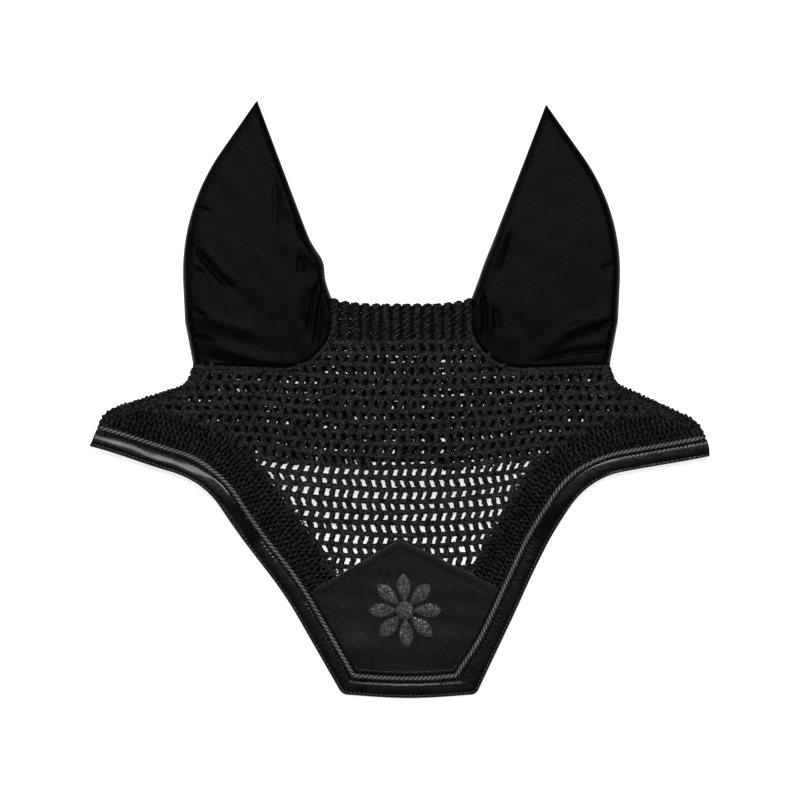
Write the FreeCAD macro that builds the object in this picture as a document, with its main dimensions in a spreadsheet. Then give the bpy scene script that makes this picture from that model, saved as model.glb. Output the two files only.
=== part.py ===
"""Crocheted ear bonnet for a horse, relaxed and laid flat with its two ear sleeves up.

The bonnet lies folded over the poll: the forehead faces up, the poll panel lies under it, and
the head goes between them. All sizes are millimetres. +Z is up off the surface it lies on, +Y runs
from the hem towards the ear tips, and the middle of the bonnet is at X = 0.
"""
import FreeCAD, Part
import math
import os
from typing import NamedTuple

import Sketcher
from FreeCAD import Placement, Rotation, Vector

SIZES = {
    # Overall shape, seen from above
    "half_width": 262.5,
    "half_length": 254.0,
    "crown_half_width": 58.0,
    "crown_height": 81.6,
    "ear_seam_height": 24.5,
    "ear_seam_rise": 4.5,
    "ear_seam_round": 44.0,
    "ear_outer_base": 177.0,
    "wing_neck_out": 5.0,
    "wing_neck_y": 13.5,
    "wing_neck_round": 14.0,
    "wing_shoulder_in": 8.5,
    "wing_shoulder_y": -16.4,
    "wing_shoulder_round": 25.0,
    "wing_tip_y": -46.0,
    "wing_tip_round": 2.0,
    "cheek_x": 163.0,
    "cheek_y": -68.0,
    "cheek_round": 70.0,
    "flank_x": 104.0,
    "flank_y": -161.0,
    "flank_round": 500.0,
    "hem_half_width": 57.0,
    "hem_round": 8.0,
    "hem_sag_angle": 4.3,
    "hem_sag_round": 400.0,
    # Layers
    "yarn": 3.0,
    "pocket": 7.0,
    "leather": 1.0,
    "cloth": 1.2,
    "shield_cloth": 1.2,
    "ramp_top_y": -90.0,
    "ramp_foot_y": -118.0,
    "ramp_ease": 5.0,
    "poll_edge_y": -56.0,
    "crown_band_height": 35.6,
    "roll_facets": 4,
    # Border: binding, rope and crocheted side band, each measured in from the hem
    "binding_width": 14.5,
    "rope_diameter": 5.0,
    "rope_sides": 7,
    "rope_corner_round": 6.0,
    "rope_gap": 0.2,
    "band_width": 32.5,
    "strip_joint": 31.0,
    "least_run": 0.5,
    # Net
    "row_pitch": 9.6,
    "row_count": 10,
    "first_row_y": -58.5,
    "row_sag": 4.0,
    "cell_pitch": 8.25,
    "hole_width": 4.4,
    "hole_height": 5.6,
    "hole_lean": 1.9,
    # Shield
    "shield_height": 135.0,
    "shield_slope": 28.4,
    "motif_drop": 62.0,
    "motif_cloth": 0.8,
    "petal_reach": 31.0,
    "petal_width": 12.0,
    "petal_root": 4.0,
    "petal_belly": 20.0,
    "petal_count": 8,
    "motif_hub": 8.0,
    # Ears
    "ear_tip_x": 122.8,
    "ear_calf_x": 184.0,
    "ear_calf_y": 66.0,
    "ear_calf_round": 40.0,
    "ear_belly_x": 188.5,
    "ear_belly_y": 160.0,
    "ear_belly_round": 180.0,
    "ear_shoulder": 8.0,
    "ear_tip_depth": 6.5,
    "ear_hinge_y": 90.0,
    "ear_hinge_gap": 0.3,
    "seam_width": 6.0,
    "seam_cloth": 0.8,
}

doc = FreeCAD.newDocument("ear_bonnet")
sheet = doc.addObject("Spreadsheet::Sheet", "sizes")
for row, (alias, value) in enumerate(SIZES.items(), start=1):
    sheet.set(f"A{row}", alias)
    sheet.set(f"B{row}", str(value))
    sheet.setAlias(f"B{row}", alias)
doc.recompute()


def size(alias: str) -> float:
    """Value of one cell of the sheet."""
    return float(sheet.get(alias))


# Heights that follow from the layers
FOLD_REACH = size("yarn") + size("pocket") / 2
FRONT_UNDER = size("yarn") + size("pocket")
FRONT_TOP = FRONT_UNDER + size("yarn")
LOW_UNDER = size("leather")
ROPE_INSET = size("binding_width") + size("rope_gap") + size("rope_diameter") / 2
SHIELD_INSET = ROPE_INSET + size("rope_diameter") / 2
BAND_INSET = size("binding_width") + size("band_width")
SHIELD_APEX_Y = size("shield_height") - size("half_length")
REACH = 2 * size("half_width")
TALL = 2 * FRONT_TOP


class Corner(NamedTuple):
    """One corner of a rounded outline, and the kind of edge that leaves it."""

    x: float
    y: float
    radius: float
    edge: str


def corner_turns(points: list[Vector], closed: bool) -> list[float]:
    """Half the angle that the path turns by at each point, and none at the ends of an open path."""
    turns = []
    count = len(points)
    for index, point in enumerate(points):
        if not closed and index in (0, count - 1):
            turns.append(0.0)
            continue
        before = points[index - 1] - point
        after = points[(index + 1) % count] - point
        turns.append((math.pi - before.getAngle(after)) / 2)
    return turns


def roomy_radii(points: list[Vector], radii: list[float], closed: bool) -> list[float]:
    """The radii, made smaller only where the arcs of two neighbouring corners would meet."""
    turns = corner_turns(points, closed)
    reaches = [radius * math.tan(turn) for radius, turn in zip(radii, turns)]
    shares = [1.0] * len(points)
    for index in range(len(points) if closed else len(points) - 1):
        following = (index + 1) % len(points)
        run = (points[following] - points[index]).Length - size("least_run")
        wanted = reaches[index] + reaches[following]
        if wanted > run:
            shares[index] = min(shares[index], run / wanted)
            shares[following] = min(shares[following], run / wanted)
    return [radius * share for radius, share in zip(radii, shares)]


def rounded_path(points: list[Vector], radii: list[float], closed: bool) -> Part.Wire:
    """Straight runs through the points, joined by arcs tangent to both runs."""
    starts, ends, arcs = [], [], []
    count = len(points)
    turns = corner_turns(points, closed)
    for index, (point, radius) in enumerate(zip(points, roomy_radii(points, radii, closed))):
        half_turn = turns[index]
        if half_turn == 0 or radius <= 0:
            starts.append(point)
            ends.append(point)
            arcs.append(None)
            continue
        before = (points[index - 1] - point).normalize()
        after = (points[(index + 1) % count] - point).normalize()
        reach = radius * math.tan(half_turn)
        middle = (before + after).normalize() * (radius / math.cos(half_turn) - radius)
        starts.append(point + before * reach)
        ends.append(point + after * reach)
        arcs.append(Part.Arc(starts[-1], point + middle, ends[-1]).toShape())
    edges = []
    for index in range(count):
        if arcs[index] is not None:
            edges.append(arcs[index])
        following = index + 1
        if following < count or closed:
            edges.append(Part.LineSegment(ends[index], starts[following % count]).toShape())
    return Part.Wire(edges)


def inset(corners: list[Corner], distances: dict[str, float]) -> list[Corner]:
    """The outline with every edge moved inwards by its kind's distance, arcs kept concentric.

    The corners run clockwise as seen from above, so inwards is to the right of each edge.
    """
    moved = []
    count = len(corners)
    for index, corner in enumerate(corners):
        before = corners[index - 1]
        after = corners[(index + 1) % count]
        into = Vector(corner.x - before.x, corner.y - before.y, 0).normalize()
        out_of = Vector(after.x - corner.x, after.y - corner.y, 0).normalize()
        near = distances.get(before.edge, 0.0)
        far = distances.get(corner.edge, 0.0)
        turn = into.cross(out_of).z
        normal_in = Vector(into.y, -into.x, 0)
        # Where the two moved edges cross, measured from the old corner
        along = (far - near * into.dot(out_of)) / turn
        x = corner.x + normal_in.x * near + into.x * along
        y = corner.y + normal_in.y * near + into.y * along
        shrink = far if turn < 0 else -far
        radius = max(corner.radius - shrink, 0.0) if corner.radius > 0 else 0.0
        moved.append(Corner(x, y, radius, corner.edge))
    return moved


def plan_face(corners: list[Corner], height: float = 0.0) -> Part.Wire:
    """Closed wire of a rounded outline at one height."""
    points = [Vector(corner.x, corner.y, height) for corner in corners]
    return rounded_path(points, [corner.radius for corner in corners], closed=True)


def mirrored(corners: list[Corner], middle: list[Corner], last_edge: str) -> list[Corner]:
    """A right half completed with its mirror image about X = 0."""
    left = []
    for index in range(len(corners) - 1, -1, -1):
        edge = corners[index - 1].edge if index > 0 else last_edge
        left.append(Corner(-corners[index].x, corners[index].y, corners[index].radius, edge))
    return corners + middle + left


def bonnet_outline() -> list[Corner]:
    """Outer edge of the laid bonnet without its ears, clockwise from the crown's right end."""
    sag = math.radians(size("hem_sag_angle"))
    sag_depth = size("hem_sag_round") * (1 / math.cos(sag) - 1)
    hem_low = -size("half_length") - sag_depth
    hem_corner_y = hem_low + size("hem_half_width") * math.tan(sag)
    seam_outer_y = size("ear_seam_height") + size("ear_seam_rise")
    neck_x = size("ear_outer_base") + size("wing_neck_out")
    shoulder_x = size("half_width") - size("wing_shoulder_in")
    right = [
        Corner(size("crown_half_width"), size("crown_height"), 0, "ear"),
        Corner(size("crown_half_width"), size("ear_seam_height"), size("ear_seam_round"), "ear"),
        Corner(size("ear_outer_base"), seam_outer_y, 0, "fold"),
        Corner(neck_x, size("wing_neck_y"), size("wing_neck_round"), "fold"),
        Corner(shoulder_x, size("wing_shoulder_y"), size("wing_shoulder_round"), "fold"),
        Corner(size("half_width"), size("wing_tip_y"), size("wing_tip_round"), "hem"),
        Corner(size("cheek_x"), size("cheek_y"), size("cheek_round"), "hem"),
        Corner(size("flank_x"), size("flank_y"), size("flank_round"), "hem"),
        Corner(size("hem_half_width"), hem_corner_y, size("hem_round"), "hem"),
    ]
    middle = [Corner(0, hem_low, size("hem_sag_round"), "hem")]
    return mirrored(right, middle, "crown")


OUTLINE = bonnet_outline()
WING_EDGE_CORNERS = slice(2, 6)
HEM_CORNERS = slice(5, 14)


def seam_region(offset: float) -> list[Corner]:
    """Everything on the ear's side of the right ear seam, moved into the ear by the offset."""
    far_y = 2 * size("half_length")
    slope = size("ear_seam_rise") / (size("ear_outer_base") - size("crown_half_width"))
    far_seam_y = size("ear_seam_height") + slope * (REACH - size("crown_half_width"))
    corners = [
        Corner(size("crown_half_width"), far_y, 0, "far"),
        Corner(REACH, far_y, 0, "far"),
        Corner(REACH, far_seam_y, 0, "seam"),
        Corner(size("crown_half_width"), size("ear_seam_height"), size("ear_seam_round"), "seam"),
    ]
    return inset(corners, {"seam": offset})


def ear_outline() -> list[Corner]:
    """Right ear sleeve seen from above, clockwise, running on below its seam to a straight base."""
    base_y = size("ear_seam_height") / 2
    tip_y = size("half_length")
    inner_slope = (size("ear_tip_x") - size("crown_half_width")) / (tip_y - size("crown_height"))
    inner_base_x = size("crown_half_width") - inner_slope * (size("crown_height") - base_y)
    seam_outer_y = size("ear_seam_height") + size("ear_seam_rise")
    outer_slope = (size("ear_calf_x") - size("ear_outer_base")) / (size("ear_calf_y") - seam_outer_y)
    outer_base_x = size("ear_outer_base") - outer_slope * (seam_outer_y - base_y)
    return [
        Corner(inner_base_x, base_y, 0, "side"),
        Corner(size("ear_tip_x"), tip_y, 0, "side"),
        Corner(size("ear_belly_x"), size("ear_belly_y"), size("ear_belly_round"), "side"),
        Corner(size("ear_calf_x"), size("ear_calf_y"), size("ear_calf_round"), "side"),
        Corner(outer_base_x, base_y, 0, "base"),
    ]


# ---------------------------------------------------------------- building blocks of the document
def shape_feature(name: str, shape: Part.Shape) -> Part.Feature:
    """A plain wire or solid that parametric features of the document start from."""
    feature = doc.addObject("Part::Feature", name)
    feature.Shape = shape
    return feature


def prism(name: str, wire: Part.Wire, direction: Vector, length: str) -> "Part.Feature":
    """Extrusion of a closed wire by a length that follows the sheet."""
    feature = doc.addObject("Part::Extrusion", name)
    feature.Base = shape_feature(name + "_outline", wire)
    feature.DirMode = "Custom"
    feature.Dir = direction
    feature.Solid = True
    feature.setExpression("LengthFwd", length)
    return feature


STENCIL_LENGTH = "4 * (2 * sizes.yarn + sizes.pocket)"
PROFILE_LENGTH = "4 * sizes.half_width"


def stencil(name: str, corners: list[Corner]) -> "Part.Feature":
    """Tall prism over an outline, which cuts a piece's plan out of a layer."""
    return prism(name, plan_face(corners, -TALL), Vector(0, 0, 1), STENCIL_LENGTH)


def side_profile(name: str, path: list[Vector], radii: list[float], thickness: float) -> "Part.Feature":
    """Sheet as wide as the bonnet over a side-view path, with the given upright thickness."""
    lower = rounded_path(path, radii, closed=False)
    upper = lower.translated(Vector(0, 0, thickness))
    ends = [
        Part.LineSegment(point, point + Vector(0, 0, thickness)).toShape()
        for point in (path[0], path[-1])
    ]
    wire = Part.Wire(Part.__sortEdges__(lower.Edges + upper.Edges + ends))
    return prism(name, wire, Vector(1, 0, 0), PROFILE_LENGTH)


def front_layer(name: str, above_under: float, thickness: float) -> "Part.Feature":
    """Layer at a height above the forehead's underside: high over the pocket, low at the shield."""
    far_y = 2 * size("half_length")
    path = [
        Vector(-REACH, far_y, FRONT_UNDER + above_under),
        Vector(-REACH, size("ramp_top_y"), FRONT_UNDER + above_under),
        Vector(-REACH, size("ramp_foot_y"), LOW_UNDER + above_under),
        Vector(-REACH, -far_y, LOW_UNDER + above_under),
    ]
    slope = math.atan2(FRONT_UNDER - LOW_UNDER, size("ramp_top_y") - size("ramp_foot_y"))
    radius = size("ramp_ease") / math.tan(slope / 2)
    return side_profile(name, path, [0, radius, radius, 0], thickness)


def common(name: str, *shapes) -> "Part.Feature":
    """Intersection of several features."""
    feature = doc.addObject("Part::MultiCommon", name)
    feature.Shapes = list(shapes)
    return feature


def cut(name: str, base, tool) -> "Part.Feature":
    """One feature cut by another."""
    feature = doc.addObject("Part::Cut", name)
    feature.Base = base
    feature.Tool = tool
    return feature


def fuse(name: str, *shapes) -> "Part.Feature":
    """Union of several features."""
    feature = doc.addObject("Part::MultiFuse", name)
    feature.Shapes = list(shapes)
    return feature


def block(name: str, corner: Vector, length: float, width: float, height: float) -> "Part.Feature":
    """Box used to trim a piece."""
    feature = doc.addObject("Part::Box", name)
    feature.Length, feature.Width, feature.Height = length, width, height
    feature.Placement = Placement(corner, Rotation())
    return feature


def mirror_piece(name: str, source) -> "Part.Feature":
    """Left-hand twin of a right-hand piece."""
    feature = doc.addObject("Part::Mirroring", name)
    feature.Source = source
    feature.Normal = Vector(1, 0, 0)
    return feature


PIECES = {}


def piece(node: str, feature) -> None:
    """Name a finished sub-part, which is written to its own file."""
    feature.Label = node
    PIECES[node] = feature


def half_space(name: str, side: int) -> "Part.Feature":
    """Everything on one side of X = 0."""
    corner = Vector(0 if side > 0 else -2 * REACH, -2 * REACH, -TALL)
    return block(name, corner, 2 * REACH, 4 * REACH, 2 * TALL)


# ------------------------------------------------------------------------------- crocheted pieces
def net_holes() -> Part.Shape:
    """Openings of the net: one between each pair of leaning posts, the lean changing every row."""
    slope_out = (size("cheek_x") - size("flank_x")) / (size("cheek_y") - size("flank_y"))
    band_edge_at_cheek = size("cheek_x") - BAND_INSET * math.hypot(1, slope_out)
    chevron = math.tan(math.radians(size("shield_slope")))
    half_width = size("hole_width") / 2
    half_height = size("hole_height") / 2
    holes = []
    for row in range(int(size("row_count"))):
        row_y = size("first_row_y") - row * size("row_pitch")
        lean = size("hole_lean") * (1 if row % 2 else -1)
        reach = band_edge_at_cheek + (row_y - size("cheek_y")) * slope_out - size("cell_pitch")
        columns = int(reach / size("cell_pitch"))
        for column in range(-columns, columns + 1):
            x = column * size("cell_pitch") + lean / 2
            y = row_y + size("row_sag") * ((x / reach) ** 2 - 1)
            shield_edge_y = SHIELD_APEX_Y - abs(x) * chevron
            if y - half_height < shield_edge_y:
                continue
            corners = [
                Vector(x - half_width - lean, y - half_height, -TALL),
                Vector(x + half_width - lean, y - half_height, -TALL),
                Vector(x + half_width + lean, y + half_height, -TALL),
                Vector(x - half_width + lean, y + half_height, -TALL),
            ]
            outline = Part.makePolygon(corners + corners[:1])
            holes.append(Part.Face(outline).extrude(Vector(0, 0, 2 * TALL)))
    return Part.makeCompound(holes)


def build_crown() -> None:
    """Dense crochet between the ears, which folds over the poll."""
    body = doc.addObject("PartDesign::Body", "crown_body")
    sketch = body.newObject("Sketcher::SketchObject", "crown_profile")
    plane = next(f for f in body.Origin.OriginFeatures if f.Role == "YZ_Plane")
    sketch.AttachmentSupport = [(plane, "")]
    sketch.MapMode = "FlatFace"
    top = size("crown_height") - FOLD_REACH
    bottom = size("crown_height") - size("crown_band_height")
    inner = size("pocket") / 2
    middle = Vector(top, FOLD_REACH, 0)
    outer_arc = Part.Arc(
        Vector(top, FRONT_TOP, 0), middle + Vector(FOLD_REACH, 0, 0), Vector(top, 0, 0))
    inner_arc = Part.Arc(
        Vector(top, size("yarn"), 0), middle + Vector(inner, 0, 0), Vector(top, FRONT_UNDER, 0))
    sketch.addGeometry([
        Part.LineSegment(Vector(bottom, FRONT_TOP, 0), Vector(top, FRONT_TOP, 0)),
        outer_arc,
        Part.LineSegment(Vector(top, 0, 0), Vector(top, size("yarn"), 0)),
        inner_arc,
        Part.LineSegment(Vector(top, FRONT_UNDER, 0), Vector(bottom, FRONT_UNDER, 0)),
        Part.LineSegment(Vector(bottom, FRONT_UNDER, 0), Vector(bottom, FRONT_TOP, 0)),
    ], False)
    pad = body.newObject("PartDesign::Pad", "crown_pad")
    pad.Profile = sketch
    pad.Midplane = True
    pad.setExpression("Length", "2 * sizes.crown_half_width")
    piece("crown_band", body)


def build_forehead() -> None:
    """Forehead net and the dense side bands crocheted along its edges."""
    blank_plan = inset(OUTLINE, {"fold": FOLD_REACH, "crown": FOLD_REACH, "hem": size("leather")})
    blank = common("front_blank", stencil("front_plan", blank_plan),
                   front_layer("front_sheet", 0, size("yarn")))
    core_plan = inset(OUTLINE, {"fold": -REACH / 8, "crown": -REACH / 8, "hem": BAND_INSET})
    core_plan = [corner for corner in core_plan if corner.edge == "hem"]
    core_top = size("crown_height") + REACH / 8
    core_plan = [Corner(REACH, core_top, 0, "top"), Corner(REACH, core_plan[0].y, 0, "hem")] + core_plan[1:]
    core_plan += [Corner(-REACH, core_plan[1].y, 0, "top"), Corner(-REACH, core_top, 0, "top")]
    core = stencil("net_plan", core_plan)
    bands = cut("side_bands", blank, core)
    piece("right_side_band", common("right_band", bands, half_space("right_half", 1)))
    piece("left_side_band", common("left_band", bands, half_space("left_half", -1)))
    crown_bottom = size("crown_height") - size("crown_band_height")
    crown_room = block("crown_room", Vector(-size("crown_half_width"), crown_bottom, -TALL),
                       2 * size("crown_half_width"), REACH, 2 * TALL)
    net_sheet = cut("net_sheet", common("net_blank", blank, core), crown_room)
    piece("forehead_net", cut("forehead", net_sheet, shape_feature("net_openings", net_holes())))


def build_poll_panel() -> None:
    """Crocheted panel behind the ears, which lies under the forehead."""
    plan = inset(OUTLINE, {"fold": FOLD_REACH, "crown": FOLD_REACH, "hem": 3 * size("leather")})
    sheet_solid = prism("poll_sheet", plan_face(plan), Vector(0, 0, 1), "sizes.yarn")
    upper = block("poll_room", Vector(-REACH, size("poll_edge_y"), -TALL), 2 * REACH, REACH, 2 * TALL)
    piece("poll_panel", common("poll", sheet_solid, upper))


def build_wing_folds() -> None:
    """Rolled upper edges of the wings, where the front turns over into the poll panel."""
    rope_side = size("binding_width") + size("rope_gap")
    plan = inset(OUTLINE, {"fold": FOLD_REACH, "hem": rope_side})[WING_EDGE_CORNERS]
    points = [Vector(corner.x, corner.y, FOLD_REACH) for corner in plan]
    path = rounded_path(points, [corner.radius for corner in plan], closed=False)
    forward = (points[1] - points[0]).normalize()
    outward = Vector(-forward.y, forward.x, 0)
    up = Vector(0, 0, 1)
    facets = int(size("roll_facets"))
    angles = [math.pi * step / facets - math.pi / 2 for step in range(facets + 1)]
    rays = [outward * math.cos(angle) + up * math.sin(angle) for angle in angles]
    outer = [points[0] + ray * FOLD_REACH for ray in rays]
    inner = [points[0] + ray * (size("pocket") / 2) for ray in reversed(rays)]
    section = Part.makePolygon(outer + inner + outer[:1])
    sweep = doc.addObject("Part::Sweep", "wing_roll")
    sweep.Sections = [shape_feature("wing_roll_section", section)]
    spine = shape_feature("wing_roll_path", path)
    sweep.Spine = (spine, [f"Edge{number + 1}" for number in range(len(path.Edges))])
    sweep.Solid = True
    piece("right_wing_fold", sweep)
    piece("left_wing_fold", mirror_piece("left_wing_roll", sweep))


# --------------------------------------------------------------------------------- border pieces
def build_binding() -> None:
    """Folded strip round the hem, joined from a long strip and a short one on the right wing."""
    strip = size("binding_width")
    leather = size("leather")
    outer = stencil("binding_outer", OUTLINE)
    beyond = {"fold": -strip, "crown": -strip, "ear": 0}
    inner_plan = inset(OUTLINE, {**beyond, "hem": strip})
    inner = stencil("binding_inner", inner_plan)
    wrap = common("binding_wrap", cut("binding_ring", outer, inner), binding_band(),
                  front_layer("binding_sheet", -leather, size("yarn") + 2 * leather))
    slot = common("binding_slot", stencil("slot_plan", inset(OUTLINE, {**beyond, "hem": leather})),
                  front_layer("slot_sheet", 0, size("yarn")))
    binding = cut("binding", wrap, slot)
    cheek, flank = [corner for corner in OUTLINE if corner.edge == "hem"][1:3]
    along = Vector(flank.x - cheek.x, flank.y - cheek.y, 0).normalize()
    joint = Vector(cheek.x, cheek.y, -TALL) + along * size("strip_joint")
    beyond_joint = block("joint_room", Vector(0, 0, 0), REACH, REACH, 2 * TALL)
    turn = Rotation(Vector(0, 0, 1), math.degrees(math.atan2(-along.y, -along.x)))
    beyond_joint.Placement = Placement(joint + turn.multVec(Vector(0, -REACH / 2, 0)), turn)
    right_side = common("wing_side", beyond_joint, half_space("strip_half", 1))
    piece("binding_wing_strip", common("wing_strip", binding, right_side))
    piece("edge_binding", cut("long_strip", binding, right_side))


def binding_band() -> "Part.Feature":
    """Room of the hem below the wings' upper corners, where the binding runs."""
    top = size("wing_tip_y") + size("binding_width")
    return block("hem_room", Vector(-REACH, -REACH, -TALL), 2 * REACH, REACH + top, 2 * TALL)


def rope_route() -> tuple[list[Vector], list[float]]:
    """Corner points of the rope's middle line and the radius at each, from wing to wing."""
    plan = inset(OUTLINE, {"fold": size("binding_width"), "hem": ROPE_INSET})[HEM_CORNERS]
    over = size("yarn") + size("rope_gap") + size("rope_diameter") / 2
    high, low = FRONT_UNDER + over, LOW_UNDER + over
    points, radii = [], []
    for corner, following in zip(plan, plan[1:] + [None]):
        on_top = corner.y > size("ramp_top_y")
        points.append(Vector(corner.x, corner.y, high if on_top else low))
        radii.append(max(corner.radius, size("rope_corner_round")))
        if following is None or on_top == (following.y > size("ramp_top_y")):
            continue
        start, end = Vector(corner.x, corner.y, 0), Vector(following.x, following.y, 0)
        run = end - start
        ramp = [(size("ramp_top_y"), high), (size("ramp_foot_y"), low)]
        for ramp_y, height in ramp if on_top else reversed(ramp):
            at = start + run * ((ramp_y - start.y) / run.y)
            points.append(Vector(at.x, at.y, height))
            radii.append(rope_ramp_radius(abs(run.y) / run.Length, high - low))
    return points, radii


def rope_ramp_radius(steepness: float, drop: float) -> float:
    """Radius of the rope's bend on and off the ramp, easing over the same length as the sheet."""
    run = (size("ramp_top_y") - size("ramp_foot_y")) / steepness
    return size("ramp_ease") / steepness / math.tan(math.atan2(drop, run) / 2)


def build_rope() -> None:
    """Twisted rope sewn down along the inner edge of the binding."""
    points, radii = rope_route()
    path = rounded_path(points, radii, closed=False)
    forward = (points[1] - points[0]).normalize()
    across = forward.cross(Vector(0, 0, 1)).normalize()
    up = across.cross(forward)
    sides = int(size("rope_sides"))
    turns = [2 * math.pi * side / sides for side in range(sides)]
    reach = size("rope_diameter") / 2
    corners = [points[0] + across * (reach * math.sin(turn)) - up * (reach * math.cos(turn)) for turn in turns]
    ring = Part.makePolygon(corners + corners[:1])
    sweep = doc.addObject("Part::Sweep", "rope_sweep")
    sweep.Sections = [shape_feature("rope_section", ring)]
    spine = shape_feature("rope_path", path)
    sweep.Spine = (spine, [f"Edge{number + 1}" for number in range(len(path.Edges))])
    sweep.Solid = True
    piece("rope_trim", sweep)


# --------------------------------------------------------------------------------- shield pieces
def build_shield() -> None:
    """Cloth shield with a peaked top, its sides and foot tucked under the rope's flank."""
    chevron = math.tan(math.radians(size("shield_slope")))
    far_x = size("cheek_x")
    peak = [
        Corner(0, SHIELD_APEX_Y, 0, "top"),
        Corner(far_x, SHIELD_APEX_Y - far_x * chevron, 0, "far"),
        Corner(far_x, -REACH, 0, "far"),
        Corner(-far_x, -REACH, 0, "far"),
        Corner(-far_x, SHIELD_APEX_Y - far_x * chevron, 0, "top"),
    ]
    border = inset(OUTLINE, {"hem": SHIELD_INSET})
    shield = common("shield", stencil("shield_peak", peak), stencil("shield_border", border),
                    front_layer("shield_sheet", size("yarn"), size("shield_cloth")))
    piece("shield_panel", shield)


def build_motif() -> None:
    """Plain eight-pointed rosette laid on the shield: one petal, patterned round a hub."""
    body = doc.addObject("PartDesign::Body", "rosette_body")
    level = LOW_UNDER + size("yarn") + size("shield_cloth")
    origin = {f.Role: f for f in body.Origin.OriginFeatures}
    half, belly = size("petal_width") / 2, size("petal_belly")
    corners = [
        Vector(size("petal_root"), 0, 0), Vector(belly, half, 0),
        Vector(size("petal_reach"), 0, 0), Vector(belly, -half, 0),
    ]
    petal = body.newObject("Sketcher::SketchObject", "petal_sketch")
    petal.AttachmentSupport = [(origin["XY_Plane"], "")]
    petal.MapMode = "FlatFace"
    sides = zip(corners, corners[1:] + corners[:1])
    petal.addGeometry([Part.LineSegment(start, end) for start, end in sides], False)
    hub = body.newObject("Sketcher::SketchObject", "hub_sketch")
    hub.AttachmentSupport = [(origin["XY_Plane"], "")]
    hub.MapMode = "FlatFace"
    circle = hub.addGeometry(Part.Circle(Vector(), Vector(0, 0, 1), size("motif_hub")), False)
    hub.addConstraint(Sketcher.Constraint("Radius", circle, size("motif_hub")))
    hub.setExpression("Constraints[0]", "sizes.motif_hub")
    hub_pad = body.newObject("PartDesign::Pad", "hub_pad")
    hub_pad.Profile = hub
    hub_pad.setExpression("Length", "sizes.motif_cloth")
    petal_pad = body.newObject("PartDesign::Pad", "petal_pad")
    petal_pad.Profile = petal
    petal_pad.setExpression("Length", "sizes.motif_cloth")
    doc.recompute()
    pattern = body.newObject("PartDesign::PolarPattern", "petals")
    pattern.Originals = [petal_pad]
    pattern.Axis = (origin["Z_Axis"], [""])
    pattern.Angle = 360
    pattern.setExpression("Occurrences", "sizes.petal_count")
    body.Tip = pattern
    body.Placement = Placement(Vector(0, SHIELD_APEX_Y - size("motif_drop"), level), Rotation())
    piece("shield_motif", body)


# ------------------------------------------------------------------------------------ ear pieces
def ear_loft(name: str, wall: float, top: float) -> "Part.Feature":
    """Closed form of the sleeve from its back cloth up to a height, sides leaning inwards."""
    lean = size("ear_shoulder") / (FRONT_TOP - size("cloth"))
    lower = inset(ear_outline(), {"side": wall})
    upper = inset(ear_outline(), {"side": wall + lean * (top - size("cloth"))})
    feature = doc.addObject("Part::Loft", name)
    feature.Sections = [
        shape_feature(name + "_foot", plan_face(lower, size("cloth"))),
        shape_feature(name + "_head", plan_face(upper, top)),
    ]
    feature.Solid = True
    feature.Ruled = True
    return feature


def ear_roof(name: str, lowered: float) -> "Part.Feature":
    """Room under the ear's upper cloth: level over the base, then sloping down to the tip."""
    far_y = 2 * size("half_length")
    fall = (FRONT_TOP - size("ear_tip_depth")) / (size("half_length") - size("ear_hinge_y"))
    far_z = FRONT_TOP - fall * (far_y - size("ear_hinge_y")) - lowered
    top = FRONT_TOP - lowered
    profile = Part.makePolygon([
        Vector(-REACH, 0, -TALL), Vector(-REACH, 0, top), Vector(-REACH, size("ear_hinge_y"), top),
        Vector(-REACH, far_y, far_z), Vector(-REACH, far_y, -TALL), Vector(-REACH, 0, -TALL),
    ])
    return prism(name, profile, Vector(1, 0, 0), PROFILE_LENGTH)


def build_ears() -> None:
    """Two stretch-cloth sleeves, each a front and a back panel, parted at the fold across its base."""
    cloth = size("cloth")
    outer = common("ear_outer", ear_loft("ear_form", 0, FRONT_TOP), ear_roof("ear_roof", 0))
    core = ear_loft("ear_core", cloth, FRONT_TOP - cloth)
    hollow = common("ear_hollow", core, ear_roof("ear_ceiling", cloth))
    front = cut("ear_front", outer, hollow)
    back = prism("ear_back", plan_face(ear_outline()), Vector(0, 0, 1), "sizes.cloth")
    half_gap = size("ear_hinge_gap") / 2
    beyond = block("ear_free_room", Vector(-REACH, size("ear_hinge_y") + half_gap, -TALL),
                   2 * REACH, REACH, 2 * TALL)
    below = block("ear_base_room", Vector(-REACH, -REACH, -TALL),
                  2 * REACH, REACH + size("ear_hinge_y") - half_gap, 2 * TALL)
    sewn = stencil("ear_sewn_plan", seam_region(0))
    panels = {"front_panel": (front, beyond), "back_panel": (back, beyond)}
    for label, (panel, room) in panels.items():
        right = common("ear_" + label, panel, room)
        piece("right_ear_" + label, right)
        piece("left_ear_" + label, mirror_piece("left_" + label, right))
    for label, panel in {"base_front": front, "base_back": back}.items():
        right = common("ear_" + label, panel, below, sewn)
        piece("right_ear_" + label, right)
        piece("left_ear_" + label, mirror_piece("left_" + label, right))


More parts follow.
